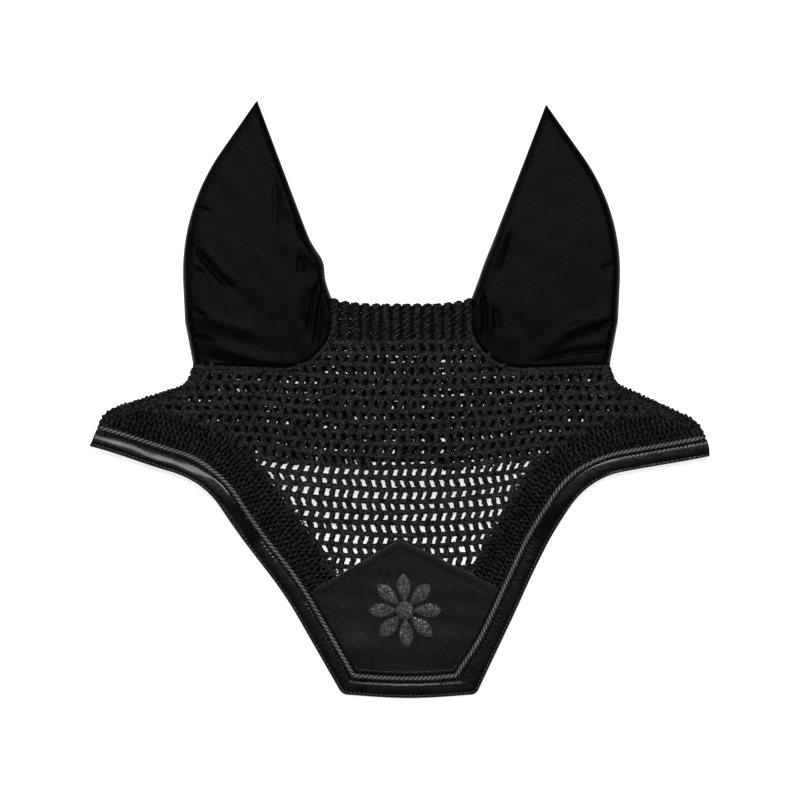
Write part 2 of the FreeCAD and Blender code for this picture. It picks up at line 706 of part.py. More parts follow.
def build_ear_seams() -> None:
    """Overlocked seam allowances inside the pocket, turned from the ear cloth onto the crochet."""
    cloth, turned = size("cloth"), size("seam_cloth")
    ribbon = cut("seam_ribbon", stencil("seam_outer", seam_region(-size("seam_width"))),
                 stencil("seam_inner", seam_region(0)))
    upright = cut("seam_upright", stencil("seam_edge", seam_region(0)),
                  stencil("seam_face", seam_region(turned)))
    inside = ear_loft("seam_limit", cloth, FRONT_TOP - cloth)
    reach_x = size("ear_outer_base") - size("ear_shoulder")
    reach_y = size("crown_height") - FOLD_REACH
    room = block("seam_room", Vector(0, 0, -TALL), reach_x, reach_y, 2 * TALL)
    levels = {
        "front": (FRONT_UNDER - turned, FRONT_UNDER, FRONT_TOP - cloth),
        "back": (size("yarn"), size("yarn") + turned, cloth),
    }
    for side, (low, high, cloth_face) in levels.items():
        flap = block(side + "_flap_room", Vector(-REACH, -REACH, low), 2 * REACH, 2 * REACH, high - low)
        bottom, top = min(low, cloth_face), max(high, cloth_face)
        rise = block(side + "_rise_room", Vector(-REACH, -REACH, bottom), 2 * REACH, 2 * REACH, top - bottom)
        laid = common(side + "_flap", ribbon, room, flap)
        risen = common(side + "_rise", upright, room, rise, inside)
        right = fuse(side + "_seam", laid, risen)
        piece(f"right_ear_{side}_seam", right)
        piece(f"left_ear_{side}_seam", mirror_piece(f"left_{side}_seam", right))


def check_and_write() -> None:
    """Stop on any failed feature or bad solid, then write each sub-part to its own file."""
    doc.recompute()
    for item in doc.Objects:
        if "Invalid" in item.State or "Error" in item.State:
            raise RuntimeError(f"{item.Label} failed: {item.State}")
    for node, feature in PIECES.items():
        if feature.Shape.isNull() or not feature.Shape.isValid() or not feature.Shape.Solids:
            raise RuntimeError(f"{node} has no valid solid")
    os.makedirs("parts", exist_ok=True)
    for node, feature in PIECES.items():
        feature.Shape.exportStep(f"parts/{node}.step")
        box = feature.Shape.BoundBox
        print(f"{node}: {len(feature.Shape.Solids)} solid(s), {feature.Shape.Volume:.0f} mm3, "
              f"x {box.XMin:.1f}..{box.XMax:.1f} y {box.YMin:.1f}..{box.YMax:.1f} "
              f"z {box.ZMin:.1f}..{box.ZMax:.1f}")


build_crown()
build_forehead()
build_poll_panel()
build_wing_folds()
build_binding()
build_rope()
build_shield()
build_motif()
build_ears()
build_ear_seams()
check_and_write()
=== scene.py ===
"""Crocheted ear bonnet for a horse, laid flat: its yarn, rope, binding, shield and ear sleeves.

Everything is laid out in millimetres on the plan of the bonnet and turned into metres when a mesh
is made. +Y runs from the hem to the ear tips and +Z is up off the floor.
"""
import logging
import math
from dataclasses import dataclass, field
from enum import Enum
from typing import Callable, Sequence

import bpy
import numpy as np
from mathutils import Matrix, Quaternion, Vector


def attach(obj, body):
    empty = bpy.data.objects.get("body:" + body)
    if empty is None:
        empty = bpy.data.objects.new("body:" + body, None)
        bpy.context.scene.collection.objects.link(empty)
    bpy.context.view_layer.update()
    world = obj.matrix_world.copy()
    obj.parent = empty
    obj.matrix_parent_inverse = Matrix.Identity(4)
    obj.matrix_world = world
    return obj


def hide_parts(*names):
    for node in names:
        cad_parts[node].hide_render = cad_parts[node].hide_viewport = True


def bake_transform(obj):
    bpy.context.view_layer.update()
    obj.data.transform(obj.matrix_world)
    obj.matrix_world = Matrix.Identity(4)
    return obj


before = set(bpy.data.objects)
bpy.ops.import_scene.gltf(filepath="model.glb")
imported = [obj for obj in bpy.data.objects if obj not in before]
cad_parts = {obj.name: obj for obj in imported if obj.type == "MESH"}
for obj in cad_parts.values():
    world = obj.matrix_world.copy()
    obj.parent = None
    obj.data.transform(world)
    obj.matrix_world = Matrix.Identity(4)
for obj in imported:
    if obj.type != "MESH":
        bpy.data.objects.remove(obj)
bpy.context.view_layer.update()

LOG = logging.getLogger("bonnet")
MM = 0.001
UP = np.array([0.0, 0.0, 1.0])
BONNET = "bonnet"
MIRROR = {"left": -1.0, "right": 1.0}
SHADE_LEVELS = 9.0
Colour = tuple[float, float, float]


# ---- shader writing
class Value:
    """A number that varies over a surface, with the arithmetic that shader maths needs."""

    def __init__(self, shader: "Shader", socket: bpy.types.NodeSocket) -> None:
        """Wrap an output socket of the shader's tree."""
        self.shader = shader
        self.socket = socket

    def _math(self, operation: str, first: object, second: object = 0.0) -> "Value":
        """Add one Math node.

        Args:
            operation: the node's operation.
            first: left operand, a Value or a number.
            second: right operand, a Value or a number, if the operation takes one.

        Returns:
            The node's result.
        """
        return self.shader.value("Math", 0, {0: first, 1: second}, operation=operation)

    def __add__(self, other: object) -> "Value":
        """Sum."""
        return self._math("ADD", self, other)

    __radd__ = __add__

    def __sub__(self, other: object) -> "Value":
        """Difference."""
        return self._math("SUBTRACT", self, other)

    def __rsub__(self, other: object) -> "Value":
        """Difference from a number."""
        return self._math("SUBTRACT", other, self)

    def __mul__(self, other: object) -> "Value":
        """Product."""
        return self._math("MULTIPLY", self, other)

    __rmul__ = __mul__

    def sine(self) -> "Value":
        """Sine of an angle in radians."""
        return self._math("SINE", self)

    def floor(self) -> "Value":
        """Whole number at or below."""
        return self._math("FLOOR", self)


class Shader:
    """The node tree of one material or sky, and the few ways in which this file adds nodes to it."""

    def __init__(self, owner: bpy.types.Material | bpy.types.World) -> None:
        """Empty the tree of a new material or world."""
        owner.use_nodes = True
        self.owner = owner
        self.tree = owner.node_tree
        self.tree.nodes.clear()

    def add(self, kind: str, inputs: dict[str | int, object] | None = None,
            **settings: object) -> bpy.types.Node:
        """Add a node of any type.

        Args:
            kind: the node's type, without the words that all types begin with.
            inputs: what each socket holds: a Value, an output socket or a constant.
            settings: the node's own settings.

        Returns:
            The new node.
        """
        node = self.tree.nodes.new(f"ShaderNode{kind}")
        for key, setting in settings.items():
            setattr(node, key, setting)
        for key, held in (inputs or {}).items():
            if isinstance(held, Value):
                held = held.socket
            if isinstance(held, bpy.types.NodeSocket):
                self.tree.links.new(held, node.inputs[key])
            else:
                node.inputs[key].default_value = held
        return node

    def value(self, kind: str, output: str | int, inputs: dict[str | int, object],
              **settings: object) -> Value:
        """Add a node and wrap one of its outputs for arithmetic."""
        return Value(self, self.add(kind, inputs, **settings).outputs[output])

    def rays(self, *kinds: str) -> Value:
        """Sum of the light path's flags for these kinds of ray.

        Args:
            kinds: "Camera", "Glossy" or "Transmission".

        Returns:
            How many of the flags a ray has.
        """
        path = self.add("LightPath")
        flags = [Value(self, path.outputs[f"Is {kind} Ray"]) for kind in kinds]
        total = flags[0]
        for flag in flags[1:]:
            total = total + flag
        return total

    def place(self, stretch: Colour = (1.0, 1.0, 1.0), turn: float = 0.0) -> bpy.types.NodeSocket:
        """Object coordinates, stretched along each axis and turned about Z.

        Args:
            stretch: factor on each axis.
            turn: angle in radians.

        Returns:
            The vector output.
        """
        where = self.add("TexCoord").outputs["Object"]
        held = {"Vector": where, "Scale": stretch, "Rotation": (0.0, 0.0, turn)}
        return self.add("Mapping", held, vector_type="POINT").outputs[0]

    def noise(self, per_mm: float, detail: float = 2.0) -> Value:
        """Noise with a number of waves to the millimetre."""
        return self.value("TexNoise", 0, {"Vector": self.place(), "Scale": per_mm / MM, "Detail": detail})

    def ramp(self, factor: Value, low: float, high: float) -> Value:
        """The factor stretched from low..high to 0..1 and held there."""
        return self.value("MapRange", 0, {"Value": factor, "From Min": low, "From Max": high}, clamp=True)

    def blend(self, factor: object, first: object, second: object) -> bpy.types.NodeSocket:
        """Mix of two colours.

        Args:
            factor: share of the second colour.
            first: a colour or a colour output.
            second: a colour or a colour output.

        Returns:
            The mixed colour.
        """
        fill = [(*held, 1.0) if isinstance(held, tuple) else held for held in (first, second)]
        return self.add("Mix", {0: factor, 6: fill[0], 7: fill[1]}, data_type="RGBA").outputs[2]

    def bump(self, height: Value, depth_mm: float,
             over: bpy.types.NodeSocket | None = None) -> bpy.types.NodeSocket:
        """Surface relief.

        Args:
            height: its height, from 0 to 1.
            depth_mm: its whole depth.
            over: an earlier relief that it lies on, if there is one.

        Returns:
            The bent normal.
        """
        inputs = {"Height": height, "Distance": depth_mm * MM, "Strength": 1.0}
        if over is not None:
            inputs["Normal"] = over
        return self.add("Bump", inputs).outputs[0]

    def finish(self, inputs: dict[str | int, object]) -> bpy.types.Material:
        """Close the tree with one Principled surface.

        Args:
            inputs: what its sockets hold.

        Returns:
            The finished material.
        """
        surface = self.add("BsdfPrincipled", inputs)
        self.add("OutputMaterial", {"Surface": surface.outputs[0]})
        return self.owner


class Slot(Enum):
    """Material slots, by finish name."""

    COTTON = "crochet_cotton"
    CLOTH = "stretch_cloth"
    LEATHER = "patent_leather"
    ROPE = "twisted_rope"
    SATIN = "shield_satin"
    GLITTER = "glitter_film"
    THREAD = "overlock_thread"


def scaled(colour: Colour, factor: float) -> Colour:
    """A colour made lighter or darker."""
    return tuple(factor * part for part in colour)


@dataclass(frozen=True)
class YarnFinish:
    """Spun yarn: plies that wind along each strand, fluff, and a faint change of dye.

    A strand's UV runs round it in U and along it, in millimetres, in V. The whole number of U is the
    strand's painted shade, in SHADE_LEVELS steps: the deeper it lies in the stitches, the darker it is
    painted.
    The colour also carries a painted highlight along each strand's top and painted shade in the grooves
    between plies.
    strand's shade: how far out of the stitches it lies, in SHADE_LEVELS steps.
    """

    name: str
    dark: Colour
    light: Colour
    roughness: float
    sheen: float
    gloss: float
    plies: float = 2.0
    wind_mm: float = 2.4
    ply_depth_mm: float = 0.22
    # where on a strand's side the painted highlight along its top begins
    painted_crest_from: float = -0.1
    clumps: float = 0.0
    fluff_per_mm: float = 1.7
    fluff_depth_mm: float = 0.25
    clumps_per_mm: float = 0.42
    dye_per_mm: float = 0.045

    def painted_shade_and_tone(self, shader: Shader, raised: Value, fluff: Value, around: Value) -> Value:
        """How much of the yarn's light colour shows: painted shade by depth in the stitches, a painted
        highlight along each strand's top and painted shade in the grooves between plies, with random clumps
        and fluff.

        Args:
            shader: the material's tree.
            raised: 1 on a ply and 0 in the groove between two; the grooves are painted darker, as shade.
            fluff: noise of the fibres.
            around: the strand's U.

        Returns:
            A number from 0 to 1.
        """
        top = (around * (2 * math.pi)).sine()
        # painted highlight: the top of each strand is painted lighter than its sides
        painted_crest_light = shader.ramp(top, self.painted_crest_from, 1.0)
        # painted shade: the whole number of U, lower for strands that lie deeper in the stitches
        level = (around + 0.001).floor()
        painted_depth_shade = shader.ramp(level, 0.0, SHADE_LEVELS)
        clump = shader.ramp(shader.noise(self.clumps_per_mm, 2.0), 0.36, 0.66)
        fibres = shader.ramp(fluff, 0.3, 0.68) * 0.6 + 0.4
        patchy = clump * self.clumps + (1.0 - self.clumps)
        # the grooves between plies take painted shade through raised; clumps and fibres are random tone
        return painted_depth_shade * painted_crest_light * patchy * fibres * (raised * 0.5 + 0.5)

    def material(self) -> bpy.types.Material:
        """Make the material.

        Returns:
            The material.
        """
        shader = Shader(bpy.data.materials.new(self.name))
        strand = shader.add("UVMap", uv_map="strand")
        split = shader.add("SeparateXYZ", {0: strand.outputs[0]})
        around, along = (Value(shader, split.outputs[axis]) for axis in range(2))
        turn = (around * self.plies + along * (1.0 / self.wind_mm)) * (2 * math.pi)
        raised = shader.ramp(turn.sine(), -1.0, 0.6)
        fluff = shader.noise(self.fluff_per_mm, 3.0)
        dye = shader.ramp(shader.noise(self.dye_per_mm, 2.0), 0.35, 0.65)
        tone = shader.blend(dye, self.light, scaled(self.light, 0.8))
        # where the painted shade falls, the colour goes to dark
        colour = shader.blend(self.painted_shade_and_tone(shader, raised, fluff, around), self.dark, tone)
        relief = shader.bump(raised, self.ply_depth_mm)
        relief = shader.bump(fluff, self.fluff_depth_mm, relief)
        return shader.finish({
            "Base Color": colour, "Roughness": self.roughness, "Specular IOR Level": self.gloss,
            "Sheen Weight": self.sheen, "Sheen Roughness": 0.45, "Normal": relief})


@dataclass(frozen=True)
class ClothFinish:
    """Fine knitted stretch cloth with a satin face and a soft grain."""

    name: str
    dark: Colour
    light: Colour
    roughness: float
    gloss: float
    knit_mm: float = 0.7
    knit_turn: float = 0.12
    knit_depth_mm: float = 0.10
    grain_per_mm: float = 0.75
    grain_depth_mm: float = 0.19
    patches_per_mm: float = 0.02

    def material(self) -> bpy.types.Material:
        """Make the material.

        Returns:
            The material.
        """
        shader = Shader(bpy.data.materials.new(self.name))
        stretch = (1.0 / (self.knit_mm * MM), 0.6 / (self.knit_mm * MM), 1.0)
        wale = shader.place(stretch, self.knit_turn)
        knit = shader.value("TexVoronoi", "Distance", {"Vector": wale, "Scale": 1.0})
        grain = shader.noise(self.grain_per_mm, 3.0)
        patches = shader.ramp(shader.noise(self.patches_per_mm, 3.0), 0.35, 0.68)
        tone = shader.blend(patches, self.light, scaled(self.light, 1.25))
        colour = shader.blend(shader.ramp(grain, 0.36, 0.64), self.dark, tone)
        relief = shader.bump(knit, self.knit_depth_mm)
        relief = shader.bump(grain, self.grain_depth_mm, relief)
        rough = grain * 0.16 + (self.roughness - 0.08)
        return shader.finish({
            "Base Color": colour, "Roughness": rough, "Specular IOR Level": self.gloss,
            "Sheen Weight": 0.0, "Sheen Roughness": 0.4, "Normal": relief})


@dataclass(frozen=True)
class LeatherFinish:
    """Glossy coated strip with small creases and a scuffed top coat."""

    name: str
    colour: Colour
    roughness: float
    coat_roughness: float
    coat: float = 0.15
    crease_per_mm: float = 0.28
    crease_depth_mm: float = 0.45
    grain_per_mm: float = 1.3
    grain_depth_mm: float = 0.06
    scuffs_per_mm: float = 0.06

    def material(self) -> bpy.types.Material:
        """Make the material.

        Returns:
            The material.
        """
        shader = Shader(bpy.data.materials.new(self.name))
        crease = shader.noise(self.crease_per_mm, 3.0)
        grain = shader.noise(self.grain_per_mm, 2.0)
        scuffs = shader.ramp(shader.noise(self.scuffs_per_mm, 4.0), 0.4, 0.7)
        tone = shader.blend(scuffs, self.colour, scaled(self.colour, 1.5))
        relief = shader.bump(crease, self.crease_depth_mm)
        relief = shader.bump(grain, self.grain_depth_mm, relief)
        return shader.finish({
            "Base Color": tone, "Roughness": scuffs * 0.12 + self.roughness, "Specular IOR Level": 0.08,
            "Coat Weight": self.coat - scuffs * 0.06, "Coat Roughness": self.coat_roughness,
            "Normal": relief})


@dataclass(frozen=True)
class GlitterFinish:
    """Film with fine glitter flakes that each lie at their own angle."""

    name: str
    ground: Colour
    flake: Colour
    flake_mm: float = 0.9
    flake_depth_mm: float = 0.35

    def material(self) -> bpy.types.Material:
        """Make the material.

        Returns:
            The material.
        """
        shader = Shader(bpy.data.materials.new(self.name))
        cells = shader.add("TexVoronoi", {"Vector": shader.place(), "Scale": 1.0 / (self.flake_mm * MM)})
        split = shader.add("SeparateColor", {0: cells.outputs["Color"]})
        chance, tilt = (Value(shader, split.outputs[channel]) for channel in range(2))
        bright = shader.ramp(chance, 0.45, 0.9)
        colour = shader.blend(bright, self.ground, self.flake)
        facet = tilt * (1.0 - Value(shader, cells.outputs["Distance"]))
        return shader.finish({
            "Base Color": colour, "Roughness": 0.55 - bright * 0.25, "Metallic": bright * 0.7,
            "Specular IOR Level": 0.4, "Normal": shader.bump(facet, self.flake_depth_mm)})


# ---- the bonnet's plan
class Edge(Enum):
    """Kinds of edge of the laid bonnet."""

    EAR = "ear"
    FOLD = "fold"
    HEM = "hem"
    CROWN = "crown"


@dataclass(frozen=True)
class Corner:
    """One corner of a rounded outline, and the kind of edge that leaves it."""

    x: float
    y: float
    radius: float
    edge: Edge


def unit(vectors: np.ndarray) -> np.ndarray:
    """Vectors at length one."""
    return vectors / np.maximum(np.linalg.norm(vectors, axis=-1, keepdims=True), 1e-9)


def ease(values: np.ndarray | float, start: float, end: float) -> np.ndarray:
    """Smooth step.

    Args:
        values: where it is read.
        start: where it leaves nought.
        end: where it comes to one.

    Returns:
        The step's height at each value.
    """
    share = np.clip((np.asarray(values, float) - start) / (end - start), 0.0, 1.0)
    return share * share * (3.0 - 2.0 * share)


def inset(corners: Sequence[Corner], distances: dict[Edge, float]) -> list[Corner]:
    """Move every edge of a clockwise outline inwards by its kind's distance, arcs kept concentric.

    Args:
        corners: the outline, closed.
        distances: how far each kind of edge moves.

    Returns:
        The moved corners.
    """
    moved = []
    count = len(corners)
    for index, corner in enumerate(corners):
        before = corners[index - 1]
        after = corners[(index + 1) % count]
        into = unit(np.array([corner.x - before.x, corner.y - before.y]))
        out_of = unit(np.array([after.x - corner.x, after.y - corner.y]))
        near = distances.get(before.edge, 0.0)
        far = distances.get(corner.edge, 0.0)
        turn = into[0] * out_of[1] - into[1] * out_of[0]
        along = (far - near * float(into @ out_of)) / turn
        x = corner.x + into[1] * near + into[0] * along
        y = corner.y - into[0] * near + into[1] * along
        shrink = far if turn < 0 else -far
        radius = max(corner.radius - shrink, 0.0) if corner.radius > 0 else 0.0
        moved.append(Corner(x, y, radius, corner.edge))
    return moved


def rounded(corners: Sequence[Corner], closed: bool, counts: Sequence[tuple[int, int]]) -> np.ndarray:
    """Points along an outline: evenly along each arc, then evenly along the run that leaves it.

    Args:
        corners: the corners, in order.
        closed: whether the last run goes back to the first corner.
        counts: for each corner, how many points its arc and its run take.

    Returns:
        Array of points, x and y.
    """
    points = np.array([[corner.x, corner.y] for corner in corners])
    count = len(points)
    arcs = []
    for index, corner in enumerate(corners):
        steps = np.linspace(0.0, 1.0, counts[index][0])[:, None]
        if not closed and index in (0, count - 1):
            arcs.append(np.repeat(points[index][None], counts[index][0], axis=0))
            continue
        before = unit(points[index - 1] - points[index])
        after = unit(points[(index + 1) % count] - points[index])
        half_turn = (math.pi - math.acos(float(np.clip(before @ after, -1, 1)))) / 2
        reach = corner.radius * math.tan(half_turn)
        centre = points[index] + unit(before + after) * (corner.radius / math.cos(half_turn))
        start = points[index] + before * reach - centre
        angle = math.atan2(start[1], start[0])
        side = 1.0 if before[0] * after[1] - before[1] * after[0] < 0 else -1.0
        turns = angle + side * steps * 2 * half_turn
        arcs.append(centre + corner.radius * np.hstack([np.cos(turns), np.sin(turns)]))
    pieces = []
    for index in range(count):
        pieces.append(arcs[index])
        if index < count - 1 or closed:
            following = arcs[(index + 1) % count][0]
            steps = np.linspace(0.0, 1.0, counts[index][1] + 2)[1:-1, None]
            pieces.append(arcs[index][-1] + (following - arcs[index][-1]) * steps)
    return np.vstack(pieces)


def distances_along(path: np.ndarray) -> np.ndarray:
    """Distance of each point of a path from its start."""
    return np.concatenate([[0.0], np.cumsum(np.linalg.norm(np.diff(path, axis=0), axis=1))])


@dataclass
class Line:
    """A line on the plan that can be read at any distance along it."""

    points: np.ndarray
    reach: np.ndarray = field(init=False)

    def __post_init__(self) -> None:
        """Drop repeated points and measure the line."""
        steps = np.linalg.norm(np.diff(self.points, axis=0), axis=1)
        self.points = self.points[np.concatenate([[True], steps > 1e-6])]
        self.reach = distances_along(self.points)

    @property
    def length(self) -> float:
        """Whole length."""
        return float(self.reach[-1])

    def at(self, distance: np.ndarray) -> np.ndarray:
        """Points at these distances along the line."""
        return np.stack([np.interp(distance, self.reach, column) for column in self.points.T], axis=-1)

    def heading(self, distance: np.ndarray, span: float = 1.5) -> np.ndarray:
        """Unit directions along the line.

        Args:
            distance: where.
            span: how far to each side the direction is averaged.

        Returns:
            The directions.
        """
        ahead = np.minimum(np.asarray(distance) + span, self.length)
        behind = np.maximum(np.asarray(distance) - span, 0.0)
        return unit(self.at(ahead) - self.at(behind))


def nearest(points: np.ndarray, path: np.ndarray) -> tuple[np.ndarray, np.ndarray]:
    """Distance from each point to a path, and how far along the path the nearest place is.

    Args:
        points: array whose last axis is x, y.
        path: the path's points.

    Returns:
        The distances, and the shares of the path's length.
    """
    flat = points.reshape(-1, 2)
    best = np.full(len(flat), np.inf)
    share = np.zeros(len(flat))
    lengths = np.linalg.norm(np.diff(path, axis=0), axis=1)
    reach = distances_along(path)
    for index, (start, end) in enumerate(zip(path[:-1], path[1:])):
        run = end - start
        along = np.clip((flat - start) @ run / max(float(run @ run), 1e-12), 0.0, 1.0)
        gap = np.linalg.norm(flat - start - along[:, None] * run, axis=1)
        closer = gap < best
        best[closer] = gap[closer]
        share[closer] = (reach[index] + along[closer] * lengths[index]) / reach[-1]
    return best.reshape(points.shape[:-1]), share.reshape(points.shape[:-1])


def to_right(heading: np.ndarray) -> np.ndarray:
    """Directions on the plan a quarter turn clockwise from these."""
    return np.stack([heading[..., 1], -heading[..., 0]], axis=-1)


def raised(plan: np.ndarray, height: np.ndarray | float, mirror: float = 1.0) -> np.ndarray:
    """Lift points off the plan.

    Args:
        plan: array whose last axis is x, y.
        height: one height, or one for each point.
        mirror: -1 to move them to the left side.

    Returns:
        Array whose last axis is x, y, z.
    """
    x, y = plan[..., 0] * mirror, plan[..., 1]
    return np.stack([x, y, np.broadcast_to(height, x.shape)], axis=-1)


def twist(distance: np.ndarray, pitch: float, share: float = 0.0) -> np.ndarray:
    """Angle of a strand that winds once in each pitch, begun at a share of a turn."""
    return 2 * math.pi * (distance / pitch + share)


def inside(points: np.ndarray, ring: np.ndarray) -> np.ndarray:
    """Which points lie inside a ring.

    Args:
        points: array whose last axis is x, y.
        ring: the ring's points, the last joined to the first.

    Returns:
        True for each point inside.
    """
    x, y = points[..., 0], points[..., 1]
    odd = np.zeros(x.shape, bool)
    for (x0, y0), (x1, y1) in zip(ring, np.roll(ring, -1, axis=0)):
        if y0 == y1:
            continue
        crosses = (y0 > y) != (y1 > y)
        odd ^= crosses & (x < (x1 - x0) * (y - y0) / (y1 - y0) + x0)
    return odd


def ring_area(ring: np.ndarray) -> float:
    """Area inside a closed ring of millimetres, in square metres."""
    x, y = ring[:, 0], ring[:, 1]
    return abs(float(np.sum(x * np.roll(y, -1) - np.roll(x, -1) * y))) / 2 * MM * MM


@dataclass(frozen=True)
class Plan:
    """Driving sizes of the laid bonnet, its outline and its heights, in millimetres."""

    half_width: float = 262.5
    half_length: float = 254.0
    crown_half_width: float = 58.0
    crown_height: float = 81.6
    ear_seam_height: float = 24.5
    ear_seam_rise: float = 4.5
    ear_seam_round: float = 44.0
    ear_outer_base: float = 177.0
    cheek: tuple[float, float, float] = (163.0, -68.0, 70.0)
    flank: tuple[float, float, float] = (104.0, -161.0, 500.0)
    wing_neck: tuple[float, float, float] = (182.0, 13.5, 14.0)
    wing_shoulder: tuple[float, float, float] = (254.0, -16.4, 25.0)
    wing_tip_y: float = -46.0
    hem_half_width: float = 57.0
    hem_round: float = 8.0
    hem_sag_angle: float = 4.3
    hem_sag_round: float = 400.0
    yarn: float = 3.0
    pocket: float = 7.0
    leather: float = 1.0
    ramp_top_y: float = -90.0
    ramp_foot_y: float = -118.0
    ramp_ease: float = 5.0
    fold_reach: float = 6.5
    binding_width: float = 14.5
    rope_inset: float = 17.2
    shield_inset: float = 19.7
    band_inset: float = 47.0
    poll_edge_y: float = -56.0
    drawn_corner: tuple[float, float, float] = (52.0, -238.0, 16.0)
    corner_draw: float = 5.5

    @property
    def ear_outer_y(self) -> float:
        """Height on the plan of the outer end of an ear's foot."""
        return self.ear_seam_height + self.ear_seam_rise

    def outline(self) -> list[Corner]:
        """Outer edge without the ears.

        Returns:
            Its corners, clockwise from the crown's right end.
        """
        sag = math.radians(self.hem_sag_angle)
        hem_low = -self.half_length - self.hem_sag_round * (1 / math.cos(sag) - 1)
        hem_corner_y = hem_low + self.hem_half_width * math.tan(sag)
        right = [
            Corner(self.crown_half_width, self.crown_height, 0, Edge.EAR),
            Corner(self.crown_half_width, self.ear_seam_height, self.ear_seam_round, Edge.EAR),
            Corner(self.ear_outer_base, self.ear_outer_y, 0, Edge.FOLD),
            Corner(*self.wing_neck, Edge.FOLD),
            Corner(*self.wing_shoulder, Edge.FOLD),
            Corner(self.half_width, self.wing_tip_y, 2, Edge.HEM),
            Corner(*self.cheek, Edge.HEM),
            Corner(*self.flank, Edge.HEM),
            Corner(self.hem_half_width, hem_corner_y, self.hem_round, Edge.HEM),
        ]
        middle = [Corner(0, hem_low, self.hem_sag_round, Edge.HEM)]
        left = []
        for index in range(len(right) - 1, -1, -1):
            edge = right[index - 1].edge if index > 0 else Edge.CROWN
            left.append(Corner(-right[index].x, right[index].y, right[index].radius, edge))
        return right + middle + left

    def ring(self, distances: dict[Edge, float]) -> np.ndarray:
        """Closed ring of the outline with its edges moved inwards."""
        corners = inset(self.outline(), distances)
        return rounded(corners, True, [(12, 1)] * len(corners))

    def hem(self, distance: float, least_radius: float = 0.0, step: float = 2.5) -> np.ndarray:
        """Points along the hem, from the right wing tip round to the left, moved inwards.

        The points match one to one between two distances, so that strips can be laid between them.

        Args:
            distance: how far the hem is moved inwards.
            least_radius: smallest radius that a corner may have.
            step: about how far apart the points lie along the straight runs.

        Returns:
            Array of points, x and y.
        """
        whole = self.outline()
        moved = inset(whole, {Edge.HEM: distance})
        hem_at = slice(5, 14)
        counts = []
        for corner, following in zip(whole[hem_at], whole[6:15]):
            run = math.hypot(following.x - corner.x, following.y - corner.y)
            arc = 10 if corner.radius < 300 else 14
            counts.append((arc, int(run / step)))
        corners = []
        for corner in moved[hem_at]:
            corners.append(Corner(corner.x, corner.y, max(corner.radius, least_radius), corner.edge))
        line = rounded(corners, False, counts)
        drawn_x, drawn_y, spread = self.drawn_corner
        near = np.exp(-((line[:, 0] - drawn_x) ** 2 + (line[:, 1] - drawn_y) ** 2) / (2 * spread ** 2))
        line[:, 0] -= self.corner_draw * float(ease(distance, 5.0, self.binding_width)) * near
        return line

    def half_hem(self, distance: float) -> np.ndarray:
        """Right half of the hem, moved inwards.

        Args:
            distance: how far.

        Returns:
            Its points, from the wing tip to the middle of the bottom.
        """
        whole = self.hem(distance)
        half = whole[whole[:, 0] >= 0.0]
        return np.vstack([half, [[0.0, half[-1, 1]]]])

    def ear_foot(self, top_y: float, outer: tuple[float, float],
                 counts: Sequence[tuple[int, int]] = ((1, 20), (40, 40), (1, 1))) -> Line:
        """Line along the foot of the right ear, from beside the crown round to the ear's outer edge.

        Args:
            top_y: where it begins, beside the crown.
            outer: where it ends.
            counts: for each corner, how many points its arc and its run take.

        Returns:
            The line.
        """
        corners = [
            Corner(self.crown_half_width, top_y, 0, Edge.EAR),
            Corner(self.crown_half_width, self.ear_seam_height, self.ear_seam_round, Edge.EAR),
            Corner(*outer, 0, Edge.EAR),
        ]
        return Line(rounded(corners, False, counts))

    def lift(self, y: np.ndarray) -> np.ndarray:
        """One where the forehead lies on the pocket, falling to nought below the ramp."""
        return ease(y, self.ramp_foot_y - self.ramp_ease, self.ramp_top_y + self.ramp_ease)

    def front_under(self, y: np.ndarray) -> np.ndarray:
        """Height of the forehead's underside."""
        high = self.yarn + self.pocket
        return self.leather + (high - self.leather) * self.lift(y)


PLAN = Plan()


@dataclass(frozen=True)
class Settling:
    """How the laid bonnet lies a little askew, as hand-laid cloth does."""

    hem_shift: float = 6.6
    hem_from: float = -119.0
    flank_shift: float = -5.5
    left_wing_rise: float = 6.0
    right_wing_drop: float = 2.5
    wing_from: float = 175.0
    right_ear_drop: float = 3.4
    ear_from: float = 100.0

    def lay(self, points: np.ndarray) -> np.ndarray:
        """Move symmetric points to where they lie.

        Args:
            points: array whose last axis is x, y, z in millimetres.

        Returns:
            The moved points.
        """
        x, y, z = (points[..., axis] for axis in range(3))
        low = np.clip((self.hem_from - y) / (PLAN.half_length + self.hem_from), 0.0, 1.0)
        wing = ease(np.abs(x), self.wing_from, PLAN.half_width) * (1 - ease(y, 20.0, 60.0))
        ear = ease(y, self.ear_from, PLAN.half_length) * (x > 0)
        rise = np.where(x < 0, self.left_wing_rise, -self.right_wing_drop) * wing
        flank = ease(-y, 36.0, 62.0) * (1 - ease(-y, 95.0, 190.0)) * ease(np.abs(x), 60.0, 120.0)
        aside = self.hem_shift * low + self.flank_shift * flank
        return np.stack([x + aside, y + rise - self.right_ear_drop * ear, z], axis=-1)


SETTLING = Settling()


def ripple(points: np.ndarray, wave: float, seed: int) -> np.ndarray:
    """Smooth waves over the plan, from -1 to 1.

    Args:
        points: array whose last axis begins with x and y.
        wave: wavelength in millimetres.
        seed: which set of waves.

    Returns:
        The waves' height at each point.
    """
    rng = np.random.default_rng(seed)
    total = np.zeros(points.shape[:-1])
    for _ in range(5):
        angle, phase = rng.uniform(0, 2 * math.pi, 2)
        pace = 2 * math.pi / (wave * rng.uniform(0.7, 1.5))
        along = points[..., 0] * math.cos(angle) + points[..., 1] * math.sin(angle)
        total += np.sin(along * pace + phase)
    return total / 5


